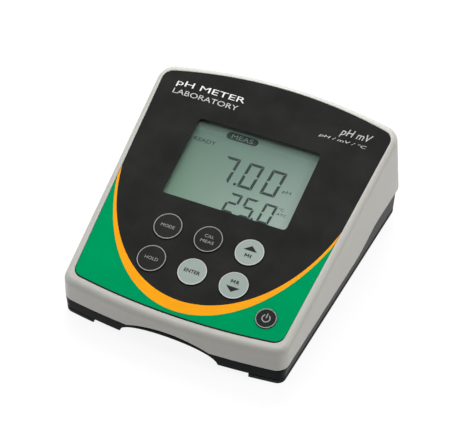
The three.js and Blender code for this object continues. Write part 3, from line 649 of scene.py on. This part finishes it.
def case_rings():
    """Rings of the upper case: under the seam edge, up the wall, over the rim, into the pocket."""
    foot = level_ring(WALL_PLAN, 0, 0)
    brim = face_ring(RIM_PLAN, 0, 0)
    down = unit(foot - brim)
    inward = unit(face_ring(RIM_PLAN, 1, 0) - brim)
    pocket = face_ring(OVERLAY_PLAN, -FIT - 0.2, 0)
    room = np.linalg.norm(pocket - brim, axis=1) - RIM_MARGIN
    setback = np.minimum(RIM_SETBACK, room)[:, None]
    half = np.arccos((down * inward).sum(1))[:, None] / 2
    centre = brim + unit(down + inward) * setback / np.cos(half)
    start = brim + down * setback - centre
    end = brim + inward * setback - centre
    sweep = pi - 2 * half
    fillet = [centre + (np.sin((1 - t) * sweep) * start + np.sin(t * sweep) * end) / np.sin(sweep)
              for t in np.linspace(0, 1, RIM_RINGS)]
    edge = foot
    for _ in range(4):
        height = seam_height(edge[:, 0], edge[:, 1])[:, None]
        edge = foot + (fillet[0] - foot) * height / fillet[0][:, 2:]
    inside = unit(level_ring(WALL_PLAN, 1, 0) - foot)
    for ring in fillet:
        ring[:, 2] = np.minimum(ring[:, 2], cad_box[1].z / MM)
    foot_edge = [edge + inside * inset + [0, 0, rise] for inset, rise in quarter_round(SEAM_ROUND)]
    wall = [foot_edge[-1] + (fillet[0] - foot_edge[-1]) * t for t in (0.15, 0.5, 0.85)]
    pocket = [face_ring(OVERLAY_PLAN, inset, n) for inset, n in (
        (-FIT - 0.2, 0), (-FIT - 0.06, -0.06), (-FIT, -0.2), (-FIT, POCKET_FLOOR), (3, POCKET_FLOOR))]
    return [edge + inside * 9, *foot_edge, *wall, *fillet, *pocket]


def rounded_top(half, top, radius):
    """(x, z) section, open below the base, with its two upper corners rounded."""
    right = arc(half - radius, top - radius, radius, 0, pi / 2, 6)
    left = arc(radius - half, top - radius, radius, pi / 2, pi, 6)
    return np.concatenate([[(-half, -1), (half, -1)], right, left])


def display_opening():
    """Cutter for the display: a level block, moved onto the control face."""
    x0, x1, v0, v1 = DISPLAY
    grow = OPENING_GROW
    opening = block("opening", x0 - grow, x1 + grow, v0 - grow, v1 + grow, -FACE_WALL - 1, 0)
    shift = Matrix.Translation(Vector((0, CENTRING, 0)) * MM)
    place = Matrix.Translation(FACE_MATRIX.translation * MM) @ spun(FACE_TILT, "X")
    opening.data.transform(place @ shift.inverted())
    return opening


def build_top_case():
    shell = loft("upper_case", case_rings(), "case_plastic")
    rear_place, rear_bow, rear_corner = WALL_PLAN["rear"]
    inner_wall = {**WALL_PLAN, "rear": (rear_place - REAR_WALL_EXTRA, rear_bow, rear_corner)}
    cavity = loft("cavity", [level_ring(inner_wall, CASE_WALL, -1),
                             face_ring(RIM_PLAN, CASE_WALL + 1.2, -FACE_WALL - 1.2),
                             face_ring(RIM_PLAN, CASE_WALL + 2, -FACE_WALL)])
    arch = rounded_top(RECESS.half + RECESS.wall, RECESS.top + RECESS.wall, RECESS.hood_corner)
    hood = prism("hood", arch, PANEL.face + FIT, FAR)
    cut(cavity, hood, *posts(CASE_POSTS, UPPER_POST.low, FAR, UPPER_POST.radius))
    arch = rounded_top(RECESS.half, RECESS.top, RECESS.corner)
    recess = prism("recess", arch, PANEL.face - 1, FAR)
    cut(shell, cavity, recess, display_opening())
    cut(shell, *posts(CASE_POSTS, 0, UPPER_POST.bore_top, UPPER_POST.bore, 16))
    merge_flat(shell)
    soften(shell, 0.7, lambda p: (p.y > PANEL.face + 2 and abs(p.x) < RECESS.half + 1
                                  and p.z < RECESS.top + 1))
    placed(smooth(shell), "case_plastic", "top_case")


def base_rings():
    """Rings of the base block: up the wall to just under the parting line."""
    bottom = level_ring(BASE_PLAN, 0, FOOT_HEIGHT)
    inside = unit(level_ring(BASE_PLAN, 1, FOOT_HEIGHT) - bottom)
    lean = BASE_DRAFT / (BASE_TOP - FOOT_HEIGHT)
    rings = [bottom + inside * 6]
    rings += [bottom + inside * (inset - lean * rise) + [0, 0, rise]
              for inset, rise in quarter_round(BASE_ROUND)]
    height = seam_height(bottom[:, 0], bottom[:, 1]) - FIT
    for inset, rise in reversed(quarter_round(BASE_TOP_ROUND)):
        up = (height - FOOT_HEIGHT - rise)[:, None]
        rings.append(bottom + inside * (inset - lean * up) + up * [0, 0, 1])
    rings.append(rings[-1] + inside * 3)
    return rings


def half_ellipse(half, rise, floor):
    angles = np.linspace(0, pi, 65)
    curve = np.stack([half * np.cos(angles), FOOT_HEIGHT + rise * np.sin(angles)], 1)
    return np.concatenate([curve, [(-half, floor), (half, floor)]])


def foot_places():
    return [(f"foot_{end}_{side}", x, PAD[end]) for end in ("front", "rear")
            for side, x in (("left", -PAD["x"]), ("right", PAD["x"]))]


def build_bottom_case():
    shell = merge_flat(loft("lower_case", base_rings(), "base_plastic"))
    edge = level_ring(BASE_PLAN, LIP_INSET, FOOT_HEIGHT + 2)
    lip_top = edge.copy()
    lip_top[:, 2] = seam_height(edge[:, 0], edge[:, 1]) + LIP_RISE
    lip = loft("lip", [edge, lip_top])
    reach, face = RECESS.half, PANEL.face
    cut(lip, block("notch", -reach - 3, reach + 3, face - 3, FAR, SEAM.rear - 0.2, FAR))
    cavity = loft("cavity", [level_ring(BASE_PLAN, BASE_WALL, z) for z in (BASE_FLOOR, 60)])
    back = BASE_PLAN["front"][0] + GRIP_ARCH.depth
    half, rise, wall = GRIP_ARCH.half, GRIP_ARCH.rise, GRIP_ARCH.wall
    roof = prism("roof", half_ellipse(half + wall, rise + wall, 0), -FAR, back + wall)
    sill = block("sill", -reach - 2, reach + 2, face + FIT, FAR, 0, SEAM.rear - FIT)
    keep = posts(BOARD_POSTS, 0, BOARD_POST.top, BOARD_POST.radius)
    keep += posts(CASE_POSTS, 0, LOWER_POST.top, LOWER_POST.radius)
    cut(cavity, roof, sill, *keep)
    join(shell, lip)
    cut(shell, cavity)
    grip = prism("grip", half_ellipse(half, rise, -1), -FAR, back)
    half_x, half_y = LABEL.half_x, LABEL.half_y
    label = block("label", -half_x, half_x, -half_y, half_y, 0, FOOT_HEIGHT + LABEL.depth)
    cut(shell, grip, label)
    well_top, post_top = LOWER_POST.well_top, LOWER_POST.top
    cut(shell, *posts(CASE_POSTS, 0, well_top, LOWER_POST.well))
    cut(shell, *posts(CASE_POSTS, well_top - 0.5, post_top + 1, LOWER_POST.bore))
    cut(shell, *posts(BOARD_POSTS, post_top, FAR, BOARD_POST.bore, 16))
    cut(shell, *posts([(x, y) for _, x, y in foot_places()], 0, BASE_FLOOR + 1, PEG.hole))
    half_groove = PANEL.half + FIT
    cut(shell, block("groove", -half_groove, half_groove, face - PANEL.thickness - FIT, face + FIT,
                     PANEL.bottom - FIT, FAR))
    merge_flat(shell)
    soften(shell, 0.5, lambda p: p.y < -70 and abs(p.x) < half + 2 and p.z < 15)
    placed(smooth(shell), "base_plastic", "bottom_case")
    build_label()


def build_label():
    """Blank rating label in its shallow recess under the base, with printed rules and fields."""
    lift = FOOT_HEIGHT + LABEL.depth

    def sheet(name, x0, x1, y0, y1, low, high, material):
        edge = rounded_rectangle(x0, x1, y0, y1, min(1.5, (y1 - y0) * 0.4))
        placed(merge_flat(upright(name, edge, low, high, material)), "base_plastic")

    half_x, half_y = LABEL.half_x - 0.8, LABEL.half_y - 0.8
    sheet("rating_label", -half_x, half_x, -half_y, half_y, lift - 0.15, lift - 0.01, "label_foil")
    low, high = lift - 0.18, lift - 0.15
    for i, y in enumerate((-9.5, -3.5, 2.5, 8.5)):
        sheet(f"label_rule_{i}", 3 - half_x, half_x - 3, y, y + 0.4, low, high, "dark_print")
    for i, x in enumerate((-17, 6)):
        sheet(f"label_field_{i}", x, x + 11, 10.8, 13.6, low, high, "dark_print")


def build_feet():
    for name, x, y in foot_places():
        bottom = level_ring(BASE_PLAN, 0, 0)
        inside = unit(level_ring(BASE_PLAN, 1, 0) - bottom)
        rings = [bottom + inside * inset + [0, 0, rise] for inset, rise in quarter_round(PAD_ROUND)]
        rings = [bottom + inside * 3, *rings, rings[-1] + [0, 0, 2.2]]
        pad = loft(name.replace("foot", "pad"), rings, "foot_rubber")
        corner = (PAD["rear_end"], FAR) if y > 0 else (-FAR, PAD["front_end"])
        side = (PAD_STRIP.gap, FAR) if y > 0 else (-FAR, -PAD_STRIP.gap)
        extent, strip = [
            block("extent", *((inner, FAR) if x > 0 else (-FAR, -inner)), *length, -1, FOOT_HEIGHT)
            for inner, length in ((PAD["inner_x"], corner), (PAD_STRIP.inner_x, side))]
        combine(pad, join(extent, strip), "INTERSECT")
        soften(pad, 0.4, lambda p: abs(p.y) > 1 and (p.z < 2 or abs(p.x) < PAD["inner_x"] + 2))
        join(pad, *posts([(x, y)], FOOT_HEIGHT - 0.6, BASE_FLOOR - 0.5, PEG.radius))
        placed(smooth(pad), "foot_rubber", name)


# ---- keypad film and its print

# Middle up the slope, half width, half height.
BLACK_ELLIPSE = (23.07, 70.68, 97.62)
ORANGE_ELLIPSE = (29.17, 72.62, 110.5)
PRINT_TOP = OVERLAY_TOP + 0.03
KEY_CLEARANCE, WINDOW_CORNER = 0.2, 2.4
# The print stops short of the film's front edge, so the black film shows there as painted shade for the
# gap under the rim.
FILM_OVERSIZE, PRINT_OVERSIZE, PRINT_FRONT_SHADE_MARGIN = 0.15, 0.1, 0.9


def flat_shape(name, loops, low, high, bevel, material):
    """Plate from closed loops in face coordinates (the first is the outside), edges rounded."""
    curve = bpy.data.curves.new(name, "CURVE")
    curve.dimensions = "2D"
    curve.fill_mode = "BOTH"
    for loop in loops:
        spline = curve.splines.new("POLY")
        spline.points.add(len(loop) - 1)
        flat = np.column_stack([loop, np.zeros(len(loop)), np.ones(len(loop))])
        spline.points.foreach_set("co", flat.ravel())
        spline.use_cyclic_u = True
    curve.extrude = (high - low) / 2 - bevel
    curve.bevel_depth = bevel
    curve.bevel_resolution = 1
    curve.offset = -bevel
    mesh = curve_mesh(name, curve)
    mesh.transform(FACE_PLACE @ moved(0, 0, (low + high) / 2))
    return linked(name, mesh, material)


def curve_mesh(name, curve):
    """Mesh of a curve or a text, in its own millimetres."""
    thing = in_scene(name, curve)
    mesh = evaluated_mesh(thing)
    bpy.data.objects.remove(thing)
    mesh.materials.clear()
    return mesh


def circle(x, v, radius, steps=96):
    return arc(x, v, radius, 0, 2 * pi, steps)[:-1]


def rounded_rectangle(x0, x1, v0, v1, radius, steps=8):
    corners = [(x1 - radius, v0 + radius, -0.5), (x1 - radius, v1 - radius, 0),
               (x0 + radius, v1 - radius, 0.5), (x0 + radius, v0 + radius, 1)]
    return np.concatenate([arc(x, v, radius, turn * pi, (turn + 0.5) * pi, steps)
                           for x, v, turn in corners])


def keys():
    """(name, x, v, radius, light) of each key, from the CAD nodes."""
    found = []
    for name in ("mode", "cal", "up", "hold", "enter", "down", "power"):
        low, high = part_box("key_" + name)
        middle = FACE_MATRIX.inverted() @ ((low + high) / 2 / MM)
        radius = (high.x - low.x) / 2 / MM - KEY_FLANGE
        found.append((name, middle.x, middle.y, radius, name in ("up", "enter", "down")))
    return found


def below_ellipse(ellipse, edge):
    """The part of a closed outline that lies outside the ellipse, at the front."""
    centre, across, along = ellipse
    x, v = edge.T
    half = across * np.sqrt(np.maximum(1 - ((v - centre) / along) ** 2, 0))
    outside = (np.abs(x) > half) & (v < centre) | (v < centre - along)
    right, left = edge[(x >= 0) & outside], edge[(x < 0) & outside]
    right = right[np.argsort(np.arctan2(right[:, 1] - centre, right[:, 0]))]
    left = left[np.argsort(np.arctan2(left[:, 1] - centre, -left[:, 0]))][::-1]
    top = right[-1]
    start = atan2((top[1] - centre) / along, top[0] / across)
    angles = np.linspace(start, -pi - start, 241)
    curve = np.stack([across * np.cos(angles), centre + along * np.sin(angles)], 1)
    return left, right, curve


def build_overlay():
    windows = {name: circle(x, v, radius + KEY_CLEARANCE) for name, x, v, radius, _ in keys()}
    loops = [outline(OVERLAY_PLAN, -FILM_OVERSIZE), rounded_rectangle(*DISPLAY, WINDOW_CORNER),
             *windows.values()]
    film = flat_shape("keypad_film", loops, OVERLAY_BOTTOM, OVERLAY_TOP, 0.08, "overlay_film")
    placed(smooth(film), "overlay_film", "keypad_overlay")
    # Painted shade: the print is set back at the front, which widens the dark line of the gap under the
    # rim.
    place, bow, corner = OVERLAY_PLAN["front"]
    front = (place + PRINT_FRONT_SHADE_MARGIN, bow, corner)
    edge = outline({**OVERLAY_PLAN, "front": front}, -PRINT_OVERSIZE)
    left, right, green_curve = below_ellipse(ORANGE_ELLIPSE, edge)
    green = np.concatenate([left, right, green_curve[1:-1]])
    left, right, black_curve = below_ellipse(BLACK_ELLIPSE, edge)
    low = green_curve[0][1]
    right = right[right[:, 1] > low]
    left = left[left[:, 1] > low]
    orange = np.concatenate([green_curve[::-1], right, black_curve, left])
    for name, loops, ink in (("green_field", [green, windows["power"]], "green_print"),
                             ("orange_band", [orange], "orange_print")):
        placed(flat_shape(name, loops, OVERLAY_TOP, PRINT_TOP, 0.01, ink), "overlay_film")


# ---- lettering


def lettering(name, text, span, n, material, body=CASE_BODY, slot="overlay_film", weight=0.0,
              slant=0.0):
    """A line of text fitted to a box (x0, x1, v0, v1) on the face, printed just proud of it."""
    curve = bpy.data.curves.new(name, "FONT")
    curve.body = text
    curve.size = 10
    curve.extrude = 0.01
    curve.offset = weight
    curve.shear = slant
    curve.resolution_u = 4
    mesh = curve_mesh(name, curve)
    points = np.array([vertex.co for vertex in mesh.vertices])
    low, high = points.min(0), points.max(0)
    x0, x1, v0, v1 = span
    stretch = Matrix.Diagonal(((x1 - x0) / (high[0] - low[0]), (v1 - v0) / (high[1] - low[1]), 1, 1))
    shift = moved(x0, v0, n) @ stretch @ moved(-low[0], -low[1], 0)
    mesh.transform(FACE_PLACE @ shift)
    return placed(linked(name, mesh, material), slot, body=body)


# Text, print, slant and box.
TITLES = [
    ("left", "pH METER", "white_print", 0, -62, -18, 57, 62.2),
    ("left_small", "LABORATORY", "pale_print", 0, -62, -20, 52, 55.6),
    ("right", "pH mV", "pale_print", 0.25, 43, 62, 55, 61.5),
    ("right_small", "pH / mV / °C", "pale_print", 0.2, 32, 61, 51.2, 53.7),
]


def build_titles():
    for name, text, ink, slant, *span in TITLES:
        lettering("title_" + name, text, span, OVERLAY_TOP + 0.015, ink, slant=slant)


# ---- keys


def turned(name, profile, materials, bands=None, sides=96):
    """Solid of revolution about Z from (radius, height) pairs, top of the axis first.
    bands gives the material index of each strip of the profile."""
    points, faces, marks, rings = [], [], [], []
    angles = np.linspace(0, 2 * pi, sides, endpoint=False)
    for radius, height in profile:
        around = angles if radius else [0]
        rings.append(range(len(points), len(points) + len(around)))
        points += [(radius * cos(a), radius * sin(a), height) for a in around]
    closed = profile[0][0] > 0
    for strip, (upper, lower) in enumerate(zip(rings, rings[1:] + rings[:closed])):
        if len(upper) == len(lower) == 1:
            continue
        for i in range(sides):
            corners = [ring[k % len(ring)]
                       for ring, k in ((upper, i), (lower, i), (lower, i + 1), (upper, i + 1))]
            faces.append(list(dict.fromkeys(corners)))
            marks.append(bands[strip] if bands else 0)
    mesh = bpy.data.meshes.new(name)
    mesh.from_pydata(points, [], faces)
    thing = linked(name, mesh, *materials)
    mesh.polygons.foreach_set("material_index", marks)
    return thing


def key_profile(radius, margin):
    """Shallow pad with a low printed ring that ends at a margin from its edge, and the flange
    under the film. The strips are marked 0 for the pad, 1 for the ring, 2 for the dark wall."""
    rim, pad = KEY_TOP, KEY_TOP - 0.1
    ring, flange = radius - margin - 0.5, radius + KEY_FLANGE
    points = [(0, pad + 0.02), (ring - 0.9, pad), (ring - 0.12, pad), (ring, rim - 0.02),
              (ring + 0.1, rim), (radius - margin, rim), (radius - 0.07, rim - 0.05),
              (radius, rim - 0.2), (radius, KEY_FLANGE_TOP), (flange, KEY_FLANGE_TOP),
              (flange, KEY_FLANGE_BOTTOM), (0, KEY_FLANGE_BOTTOM)]
    return points, [0, 0, 0, 1, 1, 2, 2, 2, 2, 2, 2]


def centred(x, v, width, height):
    return (x - width / 2, x + width / 2, v - height / 2, v + height / 2)


def build_keys():
    for name, x, v, radius, light in keys():
        body = "key_" + name
        slot = "key_light" if light else "key_dark"
        ring = "pale_print" if light else "ring_print"
        points, bands = key_profile(radius, POWER_MARGIN if name == "power" else KEY_MARGIN)
        pad = turned("pad_" + name, points, (slot, ring, "key_dark"), bands)
        pad.data.transform(FACE_PLACE @ moved(x, v, 0))
        placed(smooth(pad), slot, body, body=body)
        build_legend(name, x, v, body)


def bold_m(x0, v0, width, height, stroke):
    """Outline of a heavy letter M."""
    middle, notch, dip, shoulder = width / 2, 1.15 * stroke, 0.18 * height, height - 1.5 * stroke
    points = [(0, 0), (stroke, 0), (stroke, shoulder), (middle, dip), (width - stroke, shoulder),
              (width - stroke, 0), (width, 0), (width, height), (width - notch, height),
              (middle, dip + 1.35 * stroke), (notch, height), (0, height)]
    return np.array(points) + [x0, v0]


# Text, height of its middle above the key's, width, height, print, weight.
LEGENDS = {
    "mode": [("MODE", 0, 8.4, 1.95, "ring_print", 0)],
    "hold": [("HOLD", 0, 8, 1.95, "ring_print", 0)],
    "cal": [("CAL", 1.75, 5.6, 1.9, "ring_print", 0), ("MEAS", -1.75, 8, 1.9, "ring_print", 0)],
    "enter": [("ENTER", 0, 9.6, 2.3, "dark_print", 0.3)],
}
LEGEND_N = KEY_TOP - 0.085
M_WIDTH, M_HEIGHT, M_ADVANCE, M_STROKE = 2.6, 2.2, 3.2, 0.58


def build_legend(name, x, v, body):
    """Words from LEGENDS, an arrow over two letters (up and down), or the power sign."""

    def sign(part, loop, ink):
        thing = flat_shape("sign_" + part, [loop], LEGEND_N - 0.01, LEGEND_N + 0.012, 0.002, ink)
        placed(thing, "key_dark", body=body)

    for text, rise, width, height, ink, weight in LEGENDS.get(name, []):
        span = centred(x, v + rise, width, height)
        lettering("legend_" + text.lower(), text, span, LEGEND_N, ink, body, "key_dark", weight)
    if name in ("up", "down"):
        way = 1 if name == "up" else -1
        tip = np.array([(-4.1, 0), (4.1, 0), (0, way * 3.3)]) + [x, v + way]
        sign(name, tip[::way], "dark_print")
        second, width = ("I", 0.75) if name == "up" else ("R", 1.9)
        left, low = x - (M_ADVANCE + width) / 2, v - way * 2.2 - M_HEIGHT / 2
        sign(name + "_m", bold_m(left, low, M_WIDTH, M_HEIGHT, M_STROKE), "dark_print")
        left += M_ADVANCE
        span = (left, left + width, low, low + M_HEIGHT)
        lettering("legend_" + name, second, span, LEGEND_N, "dark_print", body, "key_dark", 0.4)
    if name == "power":
        gap = radians(32)
        outer, inner = [arc(x, v, radius, pi / 2 + gap, pi * 2.5 - gap, 48)
                        for radius in (2.5, 1.85)]
        sign("power", np.concatenate([outer, inner[::-1]]), "ring_print")
        bar = rounded_rectangle(x - 0.34, x + 0.34, v + 0.1, v + 3.1, 0.3)
        sign("power_bar", bar, "ring_print")


# ---- liquid crystal display

SEGMENTS = {"0": "abcdef", "2": "abged", "5": "afgcd", "7": "abc"}
LCD_N = GLASS_TOP + 0.02
LCD_SLANT = 0.08


def lcd_ink(name, loop):
    ink = flat_shape(name, [loop], LCD_N - 0.01, LCD_N + 0.01, 0.002, "lcd_segment")
    placed(ink, "lcd_glass")


def digit(name, character, x0, v0, width, height, stroke):
    """Seven-segment figure, slightly slanted, with mitred corners and hairline gaps."""
    gap, middle, half = stroke * 0.09, height / 2, stroke / 2
    left, right, inner = stroke + gap, width - stroke - gap, height - stroke
    top = [(gap, height), (width - gap, height), (right, inner), (left, inner)]
    bar = [(half + gap, middle), (left, middle + half), (right, middle + half),
           (width - half - gap, middle), (right, middle - half), (left, middle - half)]
    side = [(0, height - gap), (stroke, inner - gap), (stroke, middle + half + gap),
            (0, middle + gap)]
    # Each segment's shape, and whether it is mirrored across and upside down.
    shapes = {"a": (top, 0, 0), "b": (side, 1, 0), "c": (side, 1, 1), "d": (top, 0, 1),
              "e": (side, 0, 1), "f": (side, 0, 0), "g": (bar, 0, 0)}
    for letter in SEGMENTS[character]:
        points, across, up = shapes[letter]
        turned_over = [(width - x if across else x, height - v if up else v) for x, v in points]
        loop = [(x0 + x + LCD_SLANT * v, v0 + v) for x, v in turned_over]
        lcd_ink(f"{name}_{letter}", np.array(loop))


# Figures with their left edges; then the lower edge, width, height and stroke of each row.
LCD_ROWS = {
    "big": ([("7", -15.2), ("0", -0.4), ("0", 13.7)], (5.6, 9.2, 17.6, 1.75)),
    "small": ([("2", -2.4), ("5", 7.6), ("0", 19.0)], (-12.4, 7.4, 13.4, 1.45)),
}
# Text, weight and box of each small mark.
LCD_MARKS = [
    ("ready", "READY", 0.12, -37.2, -23.4, 27.1, 29.7),
    ("ph", "pH", 0.05, 26, 31, 9.8, 12.4),
    ("celsius", "°C", 0.05, 28.3, 31.6, -1.2, 0.7),
    ("atc", "ATC", 0.05, 28.3, 34, -4.4, -2.7),
]


def build_lcd():
    for row, (figures, sizes) in LCD_ROWS.items():
        for i, (character, x) in enumerate(figures):
            digit(f"{row}_{i}", character, x, *sizes)
    lcd_ink("big_point", circle(-1.9, 6.6, 0.95, 24))
    lcd_ink("small_point", circle(16.4, -11.6, 0.8, 24))
    for name, text, weight, *span in LCD_MARKS:
        lettering("mark_" + name, text, span, LCD_N, "lcd_segment", slot="lcd_glass", weight=weight)
    lcd_ink("pill", rounded_rectangle(-19.9, 0.1, 34.2, 39.2, 2.5))
    span = (-16.6, -3.2, 35.2, 38.3)
    lettering("pill_text", "MEAS", span, LCD_N + 0.015, "lcd_glass", slot="lcd_glass")


# ---- sockets on the back

# Radius of each socket's hole in the panel, its mark and the mark's width.
SOCKET_MARKS = {"ph": (6.4, "pH", 3.8), "atc": (4.2, "ATC", 5.2), "ref": (2.8, "REF", 5),
                "dc": (4.4, "DC", 3.4)}
JACK = {"back": -14, "front": -2.3, "top": 6.8}


def facing_back(thing, socket):
    """Moves a part drawn about Z, panel surface at z = 0, to its place on the socket panel."""
    place = moved(SOCKET_X[socket], CENTRING + PANEL.face, SOCKET_Z)
    thing.data.transform(METRES @ place @ spun(-pi / 2, "X"))
    return thing


def turned_cutter(profile, sides=96):
    return turned("cutter", profile, (), sides=sides)


def socket_part(name, socket, slot, profile, nodes=(), additions=(), sides=96):
    """Turned part of a socket, with the additions joined to it."""
    part = facing_back(turned(name, profile, (slot,), sides=sides), socket)
    placed(smooth(join(part, *additions)), slot, *nodes)


def rounded_edge(radius, top, round_):
    """Profile points that round the outer top edge of a turned part, from the top down."""
    angles = np.linspace(pi / 2, 0, 5)
    x, z = radius - round_, top - round_
    return [(x + round_ * cos(a), z + round_ * sin(a)) for a in angles]


def thread(radius, low, high, pitch=0.6, depth=0.22):
    """Profile points down a threaded stretch."""
    points = []
    for i in range(int((high - low) / pitch)):
        z = high - i * pitch
        points += [(radius, z - 0.1 * pitch), (radius - depth, z - 0.5 * pitch),
                   (radius, z - 0.9 * pitch)]
    return points


def hex_nut(name, across, bore, low, high, socket, node):
    """Hexagonal nut with turned chamfers on its corners."""
    corner, flat = across / sqrt(3), across / 2
    drop, outside = (corner - flat) * 0.5, corner + 0.05
    nut = turned(name, [(0, high), (corner, high), (corner, low), (0, low)], ("nickel_plate",), sides=6)
    cone = turned_cutter([
        (0, high), (flat - 0.1, high), (outside, high - drop), (outside, (low + high) / 2),
        (outside, low + drop / 2), (flat + 0.1, low), (0, low)])
    hole = turned_cutter([
        (0, high + 1), (bore + 1.3, high + 1), (bore + 0.3, high), (bore, high - 0.35),
        (bore, low - 1), (0, low - 1)])
    for thing in (nut, cone, hole):
        facing_back(thing, socket)
    combine(nut, cone, "INTERSECT")
    cut(nut, hole)
    soften(nut, 0.12, lambda p: True, 2, 40)
    placed(smooth(nut), "nickel_plate", node)


def jack_box(name, half, bore, socket):
    """Moulded body of a jack behind the panel, with its bore."""
    corners = rectangle(-half, half, -half, JACK["top"])
    ends = [raised(corners, JACK[end]) for end in ("back", "front")]
    thing = facing_back(six_faced(name, *ends, "jack_plastic"), socket)
    soften(thing, 0.3, lambda p: True, 2)
    hole = turned_cutter([(0, 1), (bore, 1), (bore, -9), (0, -9)])
    return cut(thing, facing_back(hole, socket))


def build_panel():
    half, face = PANEL.half, PANEL.face
    panel = block("panel", -half, half, face - PANEL.thickness, face, PANEL.bottom, PANEL.top,
                  "panel_plastic")
    for socket, (radius, _, _) in SOCKET_MARKS.items():
        hole = turned_cutter([(0, 5), (radius, 5), (radius, -5), (0, -5)])
        cut(panel, facing_back(hole, socket))
    soften(panel, 0.3, lambda p: p.y > face - 0.1, 2)
    placed(smooth(panel), "panel_plastic", "rear_panel")
    turn = spun(pi, "Z") @ spun(pi / 2, "X")
    for socket, (_, text, width) in SOCKET_MARKS.items():
        mark = lettering("panel_" + socket, text, centred(0, 0, width, 2.2), 0, "white_print",
                         slot="panel_plastic", weight=0.1)
        place = moved(SOCKET_X[socket], CENTRING + face + 0.02, SOCKET_Z - 10.2) @ turn
        mark.data.transform(METRES @ place @ FACE_MATRIX.inverted() @ Matrix.Scale(1 / MM, 4))


def build_sockets():
    """Profiles run from the open end inwards; heights are above the panel's surface."""
    lugs = []
    for side in (-1, 1):
        lug = turned_cutter([(0, 5.6), (0.75, 5.6), (1, 5.35), (1, 4.3), (0, 4.3)], 32)
        lug.data.transform(moved(0, 0, 7.6) @ spun(side * pi / 2, "Y"))
        lugs.append(facing_back(lug, "ph"))
    socket_part("coax_body", "ph", "nickel_plate", [
        (4.05, 11.6), *rounded_edge(4.8, 11.8, 0.3), (4.8, 10.2), (4.62, 10.0), (4.62, 9.4), (4.8, 9.2),
        (4.8, 3.4), (5.0, 3.0), *rounded_edge(6.1, 2.8, 0.2), *thread(6.1, -2.0, 2.4), (6.1, -2.3),
        (7.2, -2.3), (7.2, -9), (0, -9), (0, 1), (4.05, 1)], ["bnc_body"], lugs)
    socket_part("coax_insulator", "ph", "white_insulator", [
        (2.6, 6), *rounded_edge(3.7, 6, 0.25), (3.7, 1.1), (1.5, 1.1), (1.5, 5), (2.3, 5)],
        ["bnc_insulator"])
    socket_part("coax_contact", "ph", "gold_contact", [
        (0.7, 7.4), (0.8, 7.5), *rounded_edge(1.15, 7.5, 0.15), (1.15, 1.1), (0, 1.1), (0, 4),
        (0.7, 4)], ["bnc_contact"], sides=48)
    hex_nut("coax_nut", 15, 6.3, 0.1, 2.4, "ph", "bnc_nut")
    socket_part("probe_collar", "atc", "jack_plastic", [
        (1.8, 3.9), (2.1, 4.2), *rounded_edge(3.9, 4.2, 0.35), *thread(3.9, -3.6, 3.6, 0.5, 0.18),
        (3.9, -4), (1.8, -4)], ["temperature_jack"], [jack_box("probe_housing", 5.5, 1.8, "atc")])
    hex_nut("probe_nut", 10.5, 4.1, 0.1, 2, "atc", "temperature_jack_nut")
    socket_part("reference_socket", "ref", "brass_socket", [
        (1.2, 2.2), (1.4, 2.4), (2.1, 2.4), (2.35, 2.3), (3.2, 1.75), (3.4, 1.5), (3.4, 0.35),
        (3.3, 0.2), (2.5, 0.2), *thread(2.5, -8, 0, 0.5, 0.16), (2.5, -10), (0, -10), (0, -7),
        (1.2, -7)], ["reference_jack"])
    socket_part("power_barrel", "dc", "jack_plastic", [
        (2.9, 0.5), (3.2, 0.8), *rounded_edge(4.1, 0.8, 0.25), (4.1, -3), (2.9, -3)],
        ["power_jack"], [jack_box("power_housing", 5, 2.9, "dc")])
    socket_part("power_pin", "dc", "nickel_plate", [
        (0, -0.6), (0.6, -0.65), (0.9, -0.85), (1.05, -1.2), (1.05, -9.5), (0, -9.5)], sides=32)


# ---- screws

# Places, height of the head's outer face, turn about X; then head radius and height, shank
# radius, length.
SCREWS = {
    "case": (CASE_POSTS, 3.4, 0, (3.1, 2, 1.5, 16)),
    "board": (BOARD_POSTS, BOARD_TOP + 1.9, pi, (2.7, 1.8, 1.2, 9)),
}


def screw_mesh(name, head, head_height, shank, length):
    """Pan-head screw, head down, its shank along +Z, with a cross recess and a thread."""
    dome = [(head * sin(a), head_height * 0.5 * (1 - cos(a)))
            for a in np.linspace(0, pi / 2, 7)]
    screw = turned(name, [
        (0, length), (shank * 0.3, length), (shank * 0.85, length - 1.6),
        *thread(shank, head_height + 0.5, length - 1.7, 0.7, shank * 0.22), (shank * 0.8, head_height),
        (head * 0.93, head_height), (head, head_height * 0.85), *dome[:0:-1], (0, 0)],
        ("screw_steel",), sides=48)
    corners = rectangle(-head * 0.52, head * 0.52, -head * 0.15, head * 0.15)
    for turn in (0, pi / 2):
        bottom = raised(corners * [0.45, 0.8], head_height * 0.62)
        recess = six_faced("recess", raised(corners, -1), bottom)
        recess.data.transform(spun(turn, "Z"))
        cut(screw, recess)
    return screw


def build_screws():
    for kind, (places, z, turn, sizes) in SCREWS.items():
        for i, (x, y) in enumerate(places, 1):
            screw = screw_mesh(f"{kind}_fastener_{i}", *sizes)
            screw.data.transform(METRES @ moved(x, y + CENTRING, z) @ spun(turn, "X"))
            placed(smooth(screw), "screw_steel", f"{kind}_screw_{i}")


# ---- make everything

add_camera()
add_studio()
dress_cad_nodes()
build_top_case()
build_bottom_case()
build_feet()
build_overlay()
build_titles()
build_keys()
build_lcd()
build_panel()
build_sockets()
build_screws()
